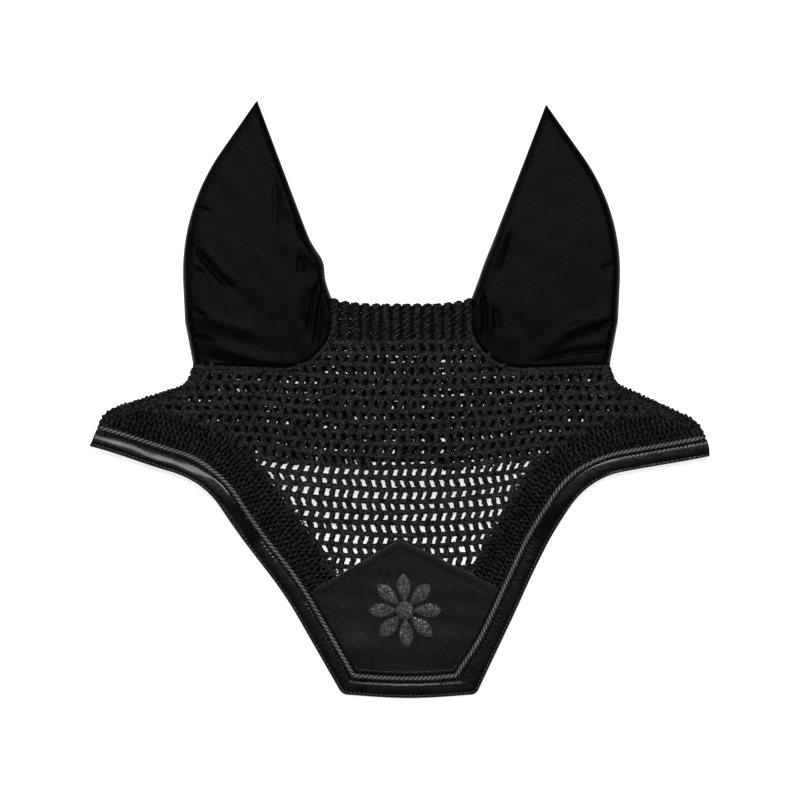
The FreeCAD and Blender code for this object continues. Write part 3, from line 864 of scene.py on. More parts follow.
# ---- mesh building
def mesh_object(name: str, vertices: np.ndarray, faces: Sequence[np.ndarray],
                strand: np.ndarray | None = None) -> bpy.types.Object:
    """Make an object from plain arrays, in millimetres, laid where the bonnet lies.

    Args:
        name: the piece's name.
        vertices: points, x, y and z.
        faces: arrays of vertex numbers, one array for each number of corners.
        strand: UV of every face corner, in the faces' order, if the piece has any.

    Returns:
        The new object, shaded smooth.
    """
    mesh = bpy.data.meshes.new(name)
    faces = [np.asarray(group) for group in faces if len(group)]
    laid = SETTLING.lay(vertices.reshape(-1, 3)) * MM
    mesh.vertices.add(len(laid))
    mesh.vertices.foreach_set("co", laid.astype(np.float32).ravel())
    loops = np.concatenate([group.ravel() for group in faces]).astype(np.int32)
    sizes = np.concatenate([np.full(len(group), group.shape[1]) for group in faces])
    mesh.loops.add(len(loops))
    mesh.loops.foreach_set("vertex_index", loops)
    mesh.polygons.add(len(sizes))
    starts = np.concatenate([[0], np.cumsum(sizes)[:-1]]).astype(np.int32)
    mesh.polygons.foreach_set("loop_start", starts)
    mesh.update(calc_edges=True)
    if strand is not None:
        mesh.uv_layers.new(name="strand")
        mesh.uv_layers["strand"].data.foreach_set("uv", strand.astype(np.float32).ravel())
    mesh.polygons.foreach_set("use_smooth", np.ones(len(sizes), bool))
    mesh.validate()
    piece = bpy.data.objects.new(name, mesh)
    bpy.context.scene.collection.objects.link(piece)
    return piece


@dataclass
class Strands:
    """Yarn strands of one piece, gathered and then skinned as one mesh of tubes."""

    sides: int = 5
    batches: list[tuple[np.ndarray, np.ndarray, np.ndarray]] = field(default_factory=list)

    def add(self, lines: np.ndarray, radius: float | np.ndarray, shade: float | np.ndarray = 1.0) -> None:
        """Gather strands.

        Args:
            lines: one middle line, by sample and axis, or several counted before that.
            radius: one radius, or one for each sample.
            shade: painted shade, from 0 where a strand lies deep in the stitches to 1 where it lies on top.
        """
        if lines.size:
            lines = lines.reshape(-1, *lines.shape[-2:])
            shape = lines.shape[:2]
            self.batches.append((lines, np.broadcast_to(radius, shape), np.broadcast_to(shade, shape)))

    def build(self, name: str) -> bpy.types.Object:
        """Skin everything gathered.

        Args:
            name: the piece's name.

        Returns:
            The object, with a UV named strand: its U runs round each tube by fractions and holds the painted
                shade
            in SHADE_LEVELS steps as its whole number, and its V runs along in millimetres.
        """
        vertices, quads, caps, quad_uv, cap_uv = [], [], [], [], []
        offset = 0
        turns = 2 * math.pi * np.arange(self.sides) / self.sides
        for lines, radius, shade in self.batches:
            count, samples = lines.shape[:2]
            heading = unit(np.gradient(lines, axis=1))
            side = unit(np.cross(heading, UP) + 1e-6)
            lift = np.cross(side, heading)
            spokes = side[..., None, :] * np.cos(turns)[:, None] + lift[..., None, :] * np.sin(turns)[:, None]
            skin = lines[..., None, :] + spokes * radius[..., None, None]
            vertices.append(skin.reshape(-1, 3))
            first = np.arange(count)[:, None, None] * samples * self.sides + offset
            ring = first + np.arange(samples - 1)[None, :, None] * self.sides
            here = np.arange(self.sides)
            then = (here + 1) % self.sides
            around = [ring + here, ring + self.sides + here, ring + self.sides + then, ring + then]
            quads.append(np.stack(around, axis=-1).reshape(-1, 4))
            caps.append((first[:, 0] + here).reshape(-1, self.sides))
            caps.append((first[:, 0] + (samples - 1) * self.sides + here[::-1]).reshape(-1, self.sides))
            steps = np.linalg.norm(np.diff(lines, axis=1), axis=2)
            reach = np.concatenate([np.zeros((count, 1)), np.cumsum(steps, axis=1)], axis=1)
            # painted shade of each face, from the mean of its two samples' shade
            level = np.round(SHADE_LEVELS * np.clip((shade[:, 1:] + shade[:, :-1]) / 2, 0.0, 1.0))
            u0 = level[..., None] + here / self.sides
            u1 = u0 + 1 / self.sides
            v0 = np.broadcast_to(reach[:, :-1, None], u0.shape)
            v1 = np.broadcast_to(reach[:, 1:, None], u0.shape)
            corners = [np.stack(pair, axis=-1) for pair in ((u0, v0), (u0, v1), (u1, v1), (u1, v0))]
            quad_uv.append(np.stack(corners, axis=-2).reshape(-1, 2))
            # caps take U nought: the darkest painted shade
            cap_uv.append(np.zeros((2 * count * self.sides, 2)))
            offset += count * samples * self.sides
        strand = np.vstack(quad_uv + cap_uv)
        return mesh_object(name, np.vstack(vertices), [np.vstack(quads), np.vstack(caps)], strand)


def grid_quads(rows: int, columns: int, wrap: bool = False, first: int = 0) -> np.ndarray:
    """Faces of a grid of points stored row by row.

    Args:
        rows: how many rows.
        columns: how many points in a row.
        wrap: whether each row is joined round.
        first: number of the first point.

    Returns:
        Four point numbers for each face.
    """
    row = np.arange(rows - 1)[:, None] * columns
    here = np.arange(columns if wrap else columns - 1)
    then = (here + 1) % columns
    quads = np.stack([row + here, row + then, row + columns + then, row + columns + here], axis=-1)
    return quads.reshape(-1, 4) + first


def fan(first: int, count: int, hub: int) -> np.ndarray:
    """Triangles that close a ring of points onto its hub.

    Args:
        first: number of the ring's first point.
        count: how many points the ring has.
        hub: number of the hub.

    Returns:
        Three point numbers for each triangle.
    """
    here = np.arange(count)
    return np.stack([first + here, first + (here + 1) % count, np.full(count, hub)], axis=-1)


def dress(piece: bpy.types.Object, material: bpy.types.Material, slot: Slot, *nodes: str) -> bpy.types.Object:
    """Give a piece of the bonnet itself its material, hang it on the bonnet and hide the nodes that it stands
    for.

    Args:
        piece: the object.
        material: its finish.
        slot: not used.
        nodes: nodes of the frame that it replaces.

    Returns:
        The same object.
    """
    piece.data.materials.append(material)
    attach(piece, BONNET)
    if nodes:
        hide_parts(*nodes)
    LOG.info("%s: %d faces", piece.name, len(piece.data.polygons))
    return piece


# ---- crocheted pieces
@dataclass
class Stitching:
    """Rows of double crochet over one flat region: leaning posts between braided chains."""

    name: str
    row_ys: np.ndarray
    region: Callable[[np.ndarray], np.ndarray]
    place: Callable[[np.ndarray], np.ndarray]
    fullness: Callable[[np.ndarray], np.ndarray]
    seed: int
    cell: float = 8.25
    row_pitch: float = 9.6
    lean: float = 1.9
    shift: float = 0.0
    reach: float = 262.0
    post_radius: float = 1.4
    post_spread: float = 1.45
    post_strands: int = 3
    chain_radius: float = 1.3
    chain_spread: float = 1.45
    chain_strands: int = 3
    wraps: bool = True
    wander: float = 0.35
    whole_turns: float = 0.8
    ground: Strands = field(init=False, default_factory=Strands)
    overs: Strands = field(init=False, default_factory=Strands)
    rng: np.random.Generator = field(init=False)

    def __post_init__(self) -> None:
        """Seed the small differences between stitches."""
        self.rng = np.random.default_rng(self.seed)

    def row_line(self, x: np.ndarray, row: int) -> np.ndarray:
        """Height on the plan of a row's middle, which hangs lowest at the middle of the bonnet.

        Args:
            x: places across the bonnet.
            row: which row.

        Returns:
            The height at each place.
        """
        row_y = self.row_ys[row]
        hang = 2.5 + 7.5 * (1 - float(ease(row_y, -62.0, 40.0)))
        sway = 0.5 * np.sin(x / 37.0 + row * 1.7) + 0.35 * np.sin(x / 13.0 + row * 2.9)
        return row_y - 4.0 + hang * np.minimum(np.abs(x) / 120.0, 1.0) ** 2 + sway

    def posts(self, row: int) -> int:
        """Add one row's posts.

        Args:
            row: which row.

        Returns:
            How many posts the row has.
        """
        tilt = self.lean * (1 if row % 2 else -1)
        x = np.arange(-self.reach, self.reach, self.cell) + self.cell / 2 + self.shift + tilt / 2
        x = x + self.rng.normal(0.0, self.wander, len(x))
        y = self.row_line(x, row)
        middle = np.stack([x, y], axis=-1)
        kept = self.region(middle)
        x, y = x[kept], y[kept]
        if not len(x):
            return 0
        full = self.fullness(middle[kept])[:, None]
        tilts = (tilt * (1 + self.rng.normal(0.0, 0.2, len(x))))[:, None]
        half = (self.row_pitch + 0.4) / 2 + self.rng.normal(0.0, 0.15, (len(x), 1))
        share = np.linspace(0.0, 1.0, 6)[None]
        start = self.rng.uniform(0.0, 1.4, (len(x), 1))
        for index in range(self.post_strands):
            turn = 2 * math.pi * (self.whole_turns * share + index / self.post_strands) + start
            line = np.stack([
                x[:, None] + tilts * (2 * share - 1) + self.post_spread * full * np.sin(turn),
                y[:, None] + (2 * share - 1) * half,
                0.6 * np.cos(turn),
            ], axis=-1)
            belly = 1 + 0.12 * np.sin(math.pi * share)
            thick = self.post_radius * full * belly + self.rng.normal(0, 0.04, (len(x), 1))
            held = self.overs if index else self.ground
            # painted shade: the strand is painted darker where it winds to the back of the post
            held.add(self.place(line), thick, 0.45 + 0.5 * np.cos(turn))
        if self.wraps:
            self.wrap(x[:, None], y[:, None], tilts)
        return len(x)

    def wrap(self, x: np.ndarray, y: np.ndarray, tilts: np.ndarray) -> None:
        """Add the yarn-over that crosses each post.

        Args:
            x: places of the posts' middles across the bonnet.
            y: their heights on the plan.
            tilts: each post's lean.
        """
        share = np.linspace(-1.0, 1.0, 5)[None]
        rise = self.rng.normal(0.4, 0.5, (len(x), 1))
        cross = -np.sign(tilts)
        line = np.stack([
            x + 1.9 * share + tilts * 0.1,
            y + rise + 1.25 * share * cross,
            (1.5 - 1.5 * share ** 2) + 0 * rise,
        ], axis=-1)
        self.overs.add(self.place(line), 0.8)

    def chains(self, row: int) -> None:
        """Add the braided chain along the top of one row, broken where the region ends.

        Args:
            row: which row.
        """
        x = np.arange(-self.reach, self.reach, self.cell / 7)
        y = self.row_line(x, row) + self.row_pitch / 2
        points = np.stack([x, y], axis=-1)
        kept = self.region(points)
        edges = np.flatnonzero(np.diff(np.concatenate([[0], kept.astype(int), [0]])))
        for start, end in zip(edges[::2], edges[1::2]):
            if end - start < 4:
                continue
            run = slice(start, end)
            full = self.fullness(points[run])
            for index in range(self.chain_strands):
                turn = twist(x[run], 0.8 * self.cell, index / self.chain_strands) + row
                wide = 1 + 0.2 * np.sin(x[run] / 5.1 + row)
                line = np.stack([
                    x[run],
                    y[run] + self.chain_spread * full * wide * np.sin(turn),
                    0.35 + 0.65 * np.cos(turn),
                ], axis=-1)
                held = self.overs if index else self.ground
                thick = self.chain_radius * full
                # painted shade: the strand is painted darker where it dips under the chain
                held.add(self.place(line), thick, 0.5 + 0.5 * np.cos(turn))

    def build(self) -> tuple[bpy.types.Object, bpy.types.Object]:
        """Crochet every row.

        Returns:
            The ground of posts and chains, and the yarn laid over it.
        """
        stitches = 0
        for row in range(len(self.row_ys)):
            stitches += self.posts(row)
            self.chains(row)
        LOG.info("%s: %d stitches in %d rows", self.name, stitches, len(self.row_ys))
        return self.ground.build(self.name), self.overs.build(f"{self.name}_yarn_overs")


@dataclass
class Crochet:
    """All the crocheted cotton: forehead net, poll panel, crown, wing folds and side bands."""

    material: bpy.types.Material
    row_pitch: float = 9.6
    first_row_y: float = -58.5
    row_count: int = 10
    upper_rows: int = 12
    fold_room: float = 5.0
    poll_rows: int = 14
    poll_first_y: float = 71.0
    poll_pitch: float = 9.5
    poll_height: float = 1.75
    crown_bottom: float = 46.0
    crown_radius: float = 5.0
    crown_columns: int = 14
    roll_radius: float = 5.1
    band_row: float = 4.5
    band_stitch: float = 4.3
    band_flat: tuple[float, float] = (0.335, 0.08)
    band_area: float = 0.0153

    def cotton(self, piece: bpy.types.Object, *nodes: str) -> bpy.types.Object:
        """Dress a piece in crochet cotton."""
        return dress(piece, self.material, Slot.COTTON, *nodes)

    def forehead(self) -> None:
        """Front layer: tight rows over the pocket, then the open net down behind the shield."""
        edges = {Edge.FOLD: self.fold_room, Edge.CROWN: 2.0, Edge.EAR: 2.0}
        ring = PLAN.ring({**edges, Edge.HEM: PLAN.band_inset - 3.0})
        room = PLAN.ring({**edges, Edge.HEM: 12.0})

        def region(points: np.ndarray) -> np.ndarray:
            """Inside the front's outline and clear of the crown."""
            beside = np.abs(points[..., 0]) >= PLAN.crown_half_width
            below = points[..., 1] <= self.crown_bottom + 4.0
            return inside(points, ring) & inside(points, room) & (beside | below)

        def place(line: np.ndarray) -> np.ndarray:
            """Lift a strand onto the forehead layer."""
            y, w = line[..., 1], line[..., 2]
            waves = 0.45 * ripple(line[..., :2], 70.0, 5) * PLAN.lift(y)
            return raised(line, PLAN.front_under(y) + 1.45 + w * 0.85 + waves)

        def fullness(points: np.ndarray) -> np.ndarray:
            """Fatter yarn over the pocket, and most of all on the wings."""
            over_pocket = ease(points[..., 1], self.first_row_y + 2.0, self.first_row_y + 8.0)
            on_wing = ease(np.abs(points[..., 0]), 160.0, 200.0)
            return 1.0 + (0.07 + 0.14 * ripple(points, 31.0, 6)) * over_pocket + 0.08 * on_wing

        rows = self.first_row_y + self.row_pitch * np.arange(self.upper_rows - 1, -self.row_count, -1)
        net, overs = Stitching("forehead_crochet", rows, region, place, fullness, 3).build()
        self.cotton(net, "forehead_net")
        self.cotton(overs)
        crown_block = 2 * PLAN.crown_half_width * (PLAN.crown_height - self.crown_bottom) * MM * MM
        area = ring_area(ring) - crown_block
        LOG.info("forehead flat area %.4f", area)
        flat = (np.ptp(ring[:, 0]) * MM, (self.crown_bottom - ring[:, 1].min()) * MM)

    def poll(self) -> None:
        """Back layer behind the ears, of the same stitch with its rows the other way up."""
        ring = PLAN.ring({Edge.FOLD: self.fold_room, Edge.HEM: 13.0, Edge.CROWN: 6.0, Edge.EAR: -1.0})

        def region(points: np.ndarray) -> np.ndarray:
            """Inside the panel, above its lower edge."""
            return inside(points, ring) & (points[..., 1] > PLAN.poll_edge_y)

        def place(line: np.ndarray) -> np.ndarray:
            """Lay a strand on the floor."""
            return raised(line, self.poll_height - line[..., 2] * 0.75)

        def fullness(points: np.ndarray) -> np.ndarray:
            """Uneven yarn, so that the pinholes through both layers differ."""
            return 0.88 + 0.14 * ripple(points, 23.0, 15) + 0.14 * ease(np.abs(points[..., 0]), 160.0, 200.0)

        rows = self.poll_first_y - self.poll_pitch * np.arange(self.poll_rows)
        stitching = Stitching("poll_crochet", rows, region, place, fullness, 8, row_pitch=self.poll_pitch,
                              shift=3.9, lean=-1.7, post_radius=1.2, chain_radius=1.14, wraps=False,
                              wander=0.9)
        net, overs = stitching.build()
        self.cotton(net, "poll_panel")
        self.cotton(overs)
        edging = self.poll_edging()
        cut = np.column_stack([ring[:, 0], np.maximum(ring[:, 1], PLAN.poll_edge_y)])

    def poll_edging(self) -> bpy.types.Object:
        """Braided edge of the back layer, which the stitches end in under the binding.

        Returns:
            The braid.
        """
        line = Line(PLAN.half_hem(8.0))
        distance = np.arange(0.5, line.length, 1.2)
        distance = distance[line.at(distance)[:, 1] > PLAN.poll_edge_y - 2.0]
        plan, heading = line.at(distance), line.heading(distance)
        strands = Strands()
        for mirror in MIRROR.values():
            for index in range(3):
                turn = twist(distance, 8.0, index / 3)
                across = plan - to_right(heading) * (1.5 * np.sin(turn))[:, None]
                braid = raised(across, self.poll_height + 0.5 * np.cos(turn), mirror)
                # painted shade: the braid is painted half dark, as it lies under the binding
                strands.add(braid, 1.25, 0.5)
        return self.cotton(strands.build("poll_edging"))

    def crown(self) -> None:
        """Dense ribs between the ears, turned over the poll."""
        turn_y = PLAN.crown_height - PLAN.fold_reach
        radius = self.crown_radius
        whole = turn_y - self.crown_bottom + math.pi * radius
        end = self.crown_bottom + whole
        width = PLAN.crown_half_width + 1.6

        def place(line: np.ndarray) -> np.ndarray:
            """Wrap a strand over the fold.

            Args:
                line: places across, distances up the crown and heights off it.

            Returns:
                The strand's points.
            """
            x, t, w = (line[..., axis] for axis in range(3))
            angle = np.clip((t - turn_y) / radius, 0.0, math.pi)
            out = radius + w * 0.8
            y = np.where(t < turn_y, t, turn_y + out * np.sin(angle))
            y = y + 4.6 * (np.abs(x) / PLAN.crown_half_width) ** 4 * ease(t, self.crown_bottom, turn_y) - 0.8
            z = np.where(t < turn_y, PLAN.fold_reach + out, PLAN.fold_reach + out * np.cos(angle))
            return np.stack([x, y, z], axis=-1)

        rng = np.random.default_rng(13)
        ground, ribs = Strands(), Strands()
        across = np.linspace(-width, width, 90)
        for place_t in np.arange(self.crown_bottom + 1.2, end - 1.0, 3.6):
            for index in range(2):
                turn = twist(across, 6.2, index / 2) + place_t
                line = np.stack([across, place_t + 0.8 * np.sin(turn), 0.45 * np.cos(turn) - 1.5], axis=-1)
                # painted shade: the ground strands under the ribs are painted dark
                ground.add(place(line), 0.85, 0.15)
        for place_t in np.arange(self.crown_bottom + 3.0, end - 8.0, 3.6):
            backing = np.column_stack([across, place_t + 0.5 * np.sin(across / 3.1)])
            # painted shade: the backing strands are painted dark
            ribs.add(place(raised(backing, -1.2)), 1.2, 0.2)
        along = np.arange(self.crown_bottom - 1.5, end - 0.5, 1.15)
        for column in np.linspace(-width + 3.0, width - 3.0, self.crown_columns):
            for index in range(4):
                turn = 2 * math.pi * (along / 10.4 + index / 4 + 0.13 * column)
                lean = 0.6 * np.sin(along / 7.0 + column)
                line = np.stack([
                    column + lean + 2.7 * np.sin(turn) + rng.normal(0, 0.15, len(along)),
                    along,
                    0.75 * np.cos(2 * turn + index) + 0.2,
                ], axis=-1)
                # painted shade: each rib's strands are painted darker at its sides, in the gaps between ribs
                ribs.add(place(line), 1.0, 0.95 - 0.9 * np.abs(np.sin(turn)) ** 1.5)
            starts = np.arange(self.crown_bottom + 2.5, end - 3.0, 4.7)
            share = np.linspace(-1.0, 1.0, 5)[None]
            starts = starts + rng.normal(0.0, 0.5, len(starts))
            line = np.stack([
                column + 2.9 * share + 0 * starts[:, None],
                starts[:, None] + 2.0 * share + 0.5 * rng.normal(0, 1, (len(starts), 1)),
                (1.75 - 1.4 * share ** 2) + 0 * starts[:, None],
            ], axis=-1)
            ribs.add(place(line), 0.95)
        net = ground.build("crown_crochet")
        overs = ribs.build("crown_ribs")
        self.cotton(net, "crown_band")
        self.cotton(overs)
        whole * MM

    def wing_fold(self, side: str) -> None:
        """Rolled upper edge of one wing: strands wound round the fold, with chains along it.

        Args:
            side: "left" or "right".
        """
        corners = inset(PLAN.outline(), {Edge.FOLD: PLAN.fold_reach, Edge.HEM: 4.0})[2:6]
        edge = Line(rounded(corners, False, [(2, 8), (8, 30), (8, 10), (2, 1)]))
        strands = Strands()
        rng = np.random.default_rng({"left": 21, "right": 22}[side])

        def roll(distance: np.ndarray, angle: np.ndarray, out: np.ndarray) -> np.ndarray:
            """Point at a distance along the fold, an angle round it and a height off it."""
            reach = self.roll_radius + out
            plan = edge.at(distance) - to_right(edge.heading(distance)) * (reach * np.cos(angle))[..., None]
            return raised(plan, PLAN.fold_reach + reach * np.sin(angle), MIRROR[side])

        share = np.linspace(0.0, 1.0, 12)
        starts = np.arange(1.5, edge.length - 0.5, 3.9)
        for phase in (0.0, math.pi):
            jitter = rng.normal(0.0, 0.3, len(starts))
            turn = 2 * math.pi * 1.6 * share[None] + phase + rng.uniform(0, 0.8, len(starts))[:, None]
            distance = (starts + jitter)[:, None] + 0.8 * np.sin(turn)
            angle = math.radians(125) * (1 - 2 * share)[None] + np.zeros_like(distance)
            rise = 0.35 + 0.55 * np.cos(turn) + 0.35 * rng.normal(0, 1, (len(starts), 1))
            # painted shade: strands are painted darker where they wind down into the fold
            strands.add(roll(np.clip(distance, 0, edge.length), angle, rise), 1.25, 0.55 + 0.4 * np.cos(turn))
        along = np.arange(0.0, edge.length, 1.3)
        for centre in (-105, -60, 42, 78, 112):
            for phase in (0.0, math.pi):
                turn = 2 * math.pi * along / 4.1 + phase + centre
                angle = math.radians(centre) + 0.17 * np.sin(turn)
                # painted shade: chain strands are painted darker where they dip under
                strands.add(roll(along, angle, 0.9 + 0.4 * np.cos(turn)), 1.05, 0.55 + 0.4 * np.cos(turn))
        self.cotton(strands.build(f"{side}_wing_fold_crochet"), f"{side}_wing_fold")

    def band(self, side: str) -> None:
        """Dense single crochet along one side of the hem, over its ground of packed yarn, a sheet painted in
        the darkest shade.

        Args:
            side: "left" or "right".
        """
        strands = Strands(sides=4)
        rng = np.random.default_rng({"left": 31, "right": 32}[side])
        share = np.linspace(-1.0, 1.0, 5)[None]
        room = PLAN.ring({Edge.FOLD: 4.0})
        for depth in np.arange(PLAN.binding_width + 0.5, PLAN.band_inset + 0.5, self.band_row):
            line = Line(PLAN.half_hem(depth))
            places = np.arange(rng.uniform(0.5, 3.0), line.length - 1.0, self.band_stitch)
            places = places[inside(line.at(places), room)]
            middle, heading = line.at(places)[:, None], line.heading(places)[:, None]
            for leg in (-1.0, 1.0):
                jitter = rng.normal(0.0, 0.25, (len(places), 2))
                along = leg * (0.45 + 0.95 * share) + jitter[:, :1]
                across = share * (self.band_row * 0.62) + jitter[:, 1:]
                plan = middle + heading * along[..., None] + to_right(heading) * across[..., None]
                bulge = 0.9 - 1.3 * share ** 2 + 0.4 * rng.random((len(places), 1))
                height = PLAN.front_under(plan[..., 1]) + 2.0 + bulge
                # painted shade darker towards each leg's ends, where it sinks, times a random tone for each
                # stitch
                shade = (1.0 - 0.6 * share ** 2) * (1 - 0.4 * rng.random((len(places), 1)))
                strands.add(raised(plan, height, MIRROR[side]), 1.0, shade)
        yarn = self.cotton(strands.build(f"{side}_band_stitches"))
        ground = self.cotton(self.band_ground(side), f"{side}_side_band")

    def band_ground(self, side: str) -> bpy.types.Object:
        """Closed sheet that the band's stitches cover, painted in the yarn's darkest shade, as shade between
        the stitches.

        Args:
            side: "left" or "right".

        Returns:
            The sheet.
        """
        room = PLAN.ring({Edge.FOLD: 3.5})
        room = Line(np.vstack([room, room[:1]]))
        lines = [Line(PLAN.half_hem(depth)) for depth in np.linspace(2.0, PLAN.band_inset, 14)]
        plan = np.stack([line.at(np.linspace(0.0, line.length, 200)) for line in lines])
        outside = ~inside(plan, room.points)
        _, share = nearest(plan[outside], room.points)
        plan[outside] = room.at(share * room.length)
        under = PLAN.front_under(plan[..., 1])
        lumps = 0.25 * ripple(plan, 9.0, 44)
        top = raised(plan, under + 1.5 + lumps, MIRROR[side])
        foot = raised(plan, under + 0.35 + lumps, MIRROR[side])
        loop = np.concatenate([top, foot[::-1]])
        rows, columns = loop.shape[:2]
        row = np.arange(rows)[:, None] * columns
        following = (np.arange(rows)[:, None] + 1) % rows * columns
        here = np.arange(columns - 1)
        around = [row + here, row + here + 1, following + here + 1, following + here]
        quads = np.stack(around, axis=-1).reshape(-1, 4)
        ends = np.stack([np.arange(rows) * columns, np.arange(rows)[::-1] * columns + columns - 1])
        faces = [quads, ends] if side == "right" else [quads[:, ::-1], ends[:, ::-1]]
        # UV all nought: the sheet takes the yarn's darkest painted shade
        darkest_shade_uv = np.zeros((quads.size + ends.size, 2))
        return mesh_object(f"{side}_band_ground", loop.reshape(-1, 3), faces, darkest_shade_uv)

    def ear_chain(self, side: str) -> None:
        """Chain that joins the crochet to the foot of one ear.

        Args:
            side: "left" or "right".
        """
        line = PLAN.ear_foot(PLAN.crown_height - 9.0, (PLAN.ear_outer_base - 1.0, PLAN.ear_outer_y))
        distance = np.linspace(0.0, line.length, 330)
        middle, inward = line.at(distance), to_right(line.heading(distance))
        strands = Strands()
        for index in range(3):
            turn = twist(distance, 5.2, index / 3)
            plan = middle + inward * (1.5 + 0.95 * np.sin(turn))[:, None]
            height = PLAN.front_under(plan[:, 1]) + 2.5 + 0.6 * np.cos(turn)
            # painted shade: strands are painted darker where they dip under the chain
            strands.add(raised(plan, height, MIRROR[side]), 0.95, 0.55 + 0.4 * np.cos(turn))
        self.cotton(strands.build(f"{side}_ear_chain"))

    def build(self) -> None:
        """Make every crocheted piece."""
        self.forehead()
        self.poll()
        self.crown()
        for side in MIRROR:
            self.band(side)
            self.wing_fold(side)
            self.ear_chain(side)


# ---- border trims
@dataclass
class Rope:
    """Three strands laid into a rope and sewn down beside the binding, painted bright along their crests as
    highlights and dark between them as shade.
    """

    material: bpy.types.Material
    strand_radius: float = 1.10
    core_radius: float = 1.36
    lay_length: float = 11.5
    centre_over_panel: float = 5.7
    samples_per_lay: int = 15

    def route(self) -> Line:
        """Middle line of the rope, from the left wing round the bottom to the right."""
        plan = PLAN.hem(PLAN.rope_inset, least_radius=5.0)[::-1]
        return Line(raised(plan, PLAN.front_under(plan[:, 1]) + self.centre_over_panel))

    def build(self) -> None:
        """Lay the three strands, which thin out at the rope's ends."""
        route = self.route()
        samples = int(route.length / self.lay_length * self.samples_per_lay)
        distance = np.linspace(2.0, route.length - 2.0, samples)
        middle, heading = route.at(distance), route.heading(distance, 2.5)
        left = unit(np.cross(UP, heading))
        up = np.cross(heading, left)
        thin = ease(distance, 0.0, 7.0) * (1 - ease(distance, route.length - 10.0, route.length) * 0.75)
        core = self.core_radius * (0.35 + 0.65 * thin)
        thick = self.strand_radius * (0.45 + 0.55 * thin)
        strands = Strands(sides=8)
        for index in range(3):
            turn = twist(distance, self.lay_length, index / 3)
            offset = left * np.sin(turn)[:, None] + up * np.cos(turn)[:, None]
            # painted highlight on the crest of each strand where it lies on top, painted shade where strands
            # meet
            painted_crest_light = 0.12 + 0.88 * np.clip((np.cos(turn) - 0.5) / 0.42, 0.0, 1.0)
            strands.add(middle + offset * core[:, None], thick, painted_crest_light)
        dress(strands.build("rope_strands"), self.material, Slot.ROPE, "rope_trim")


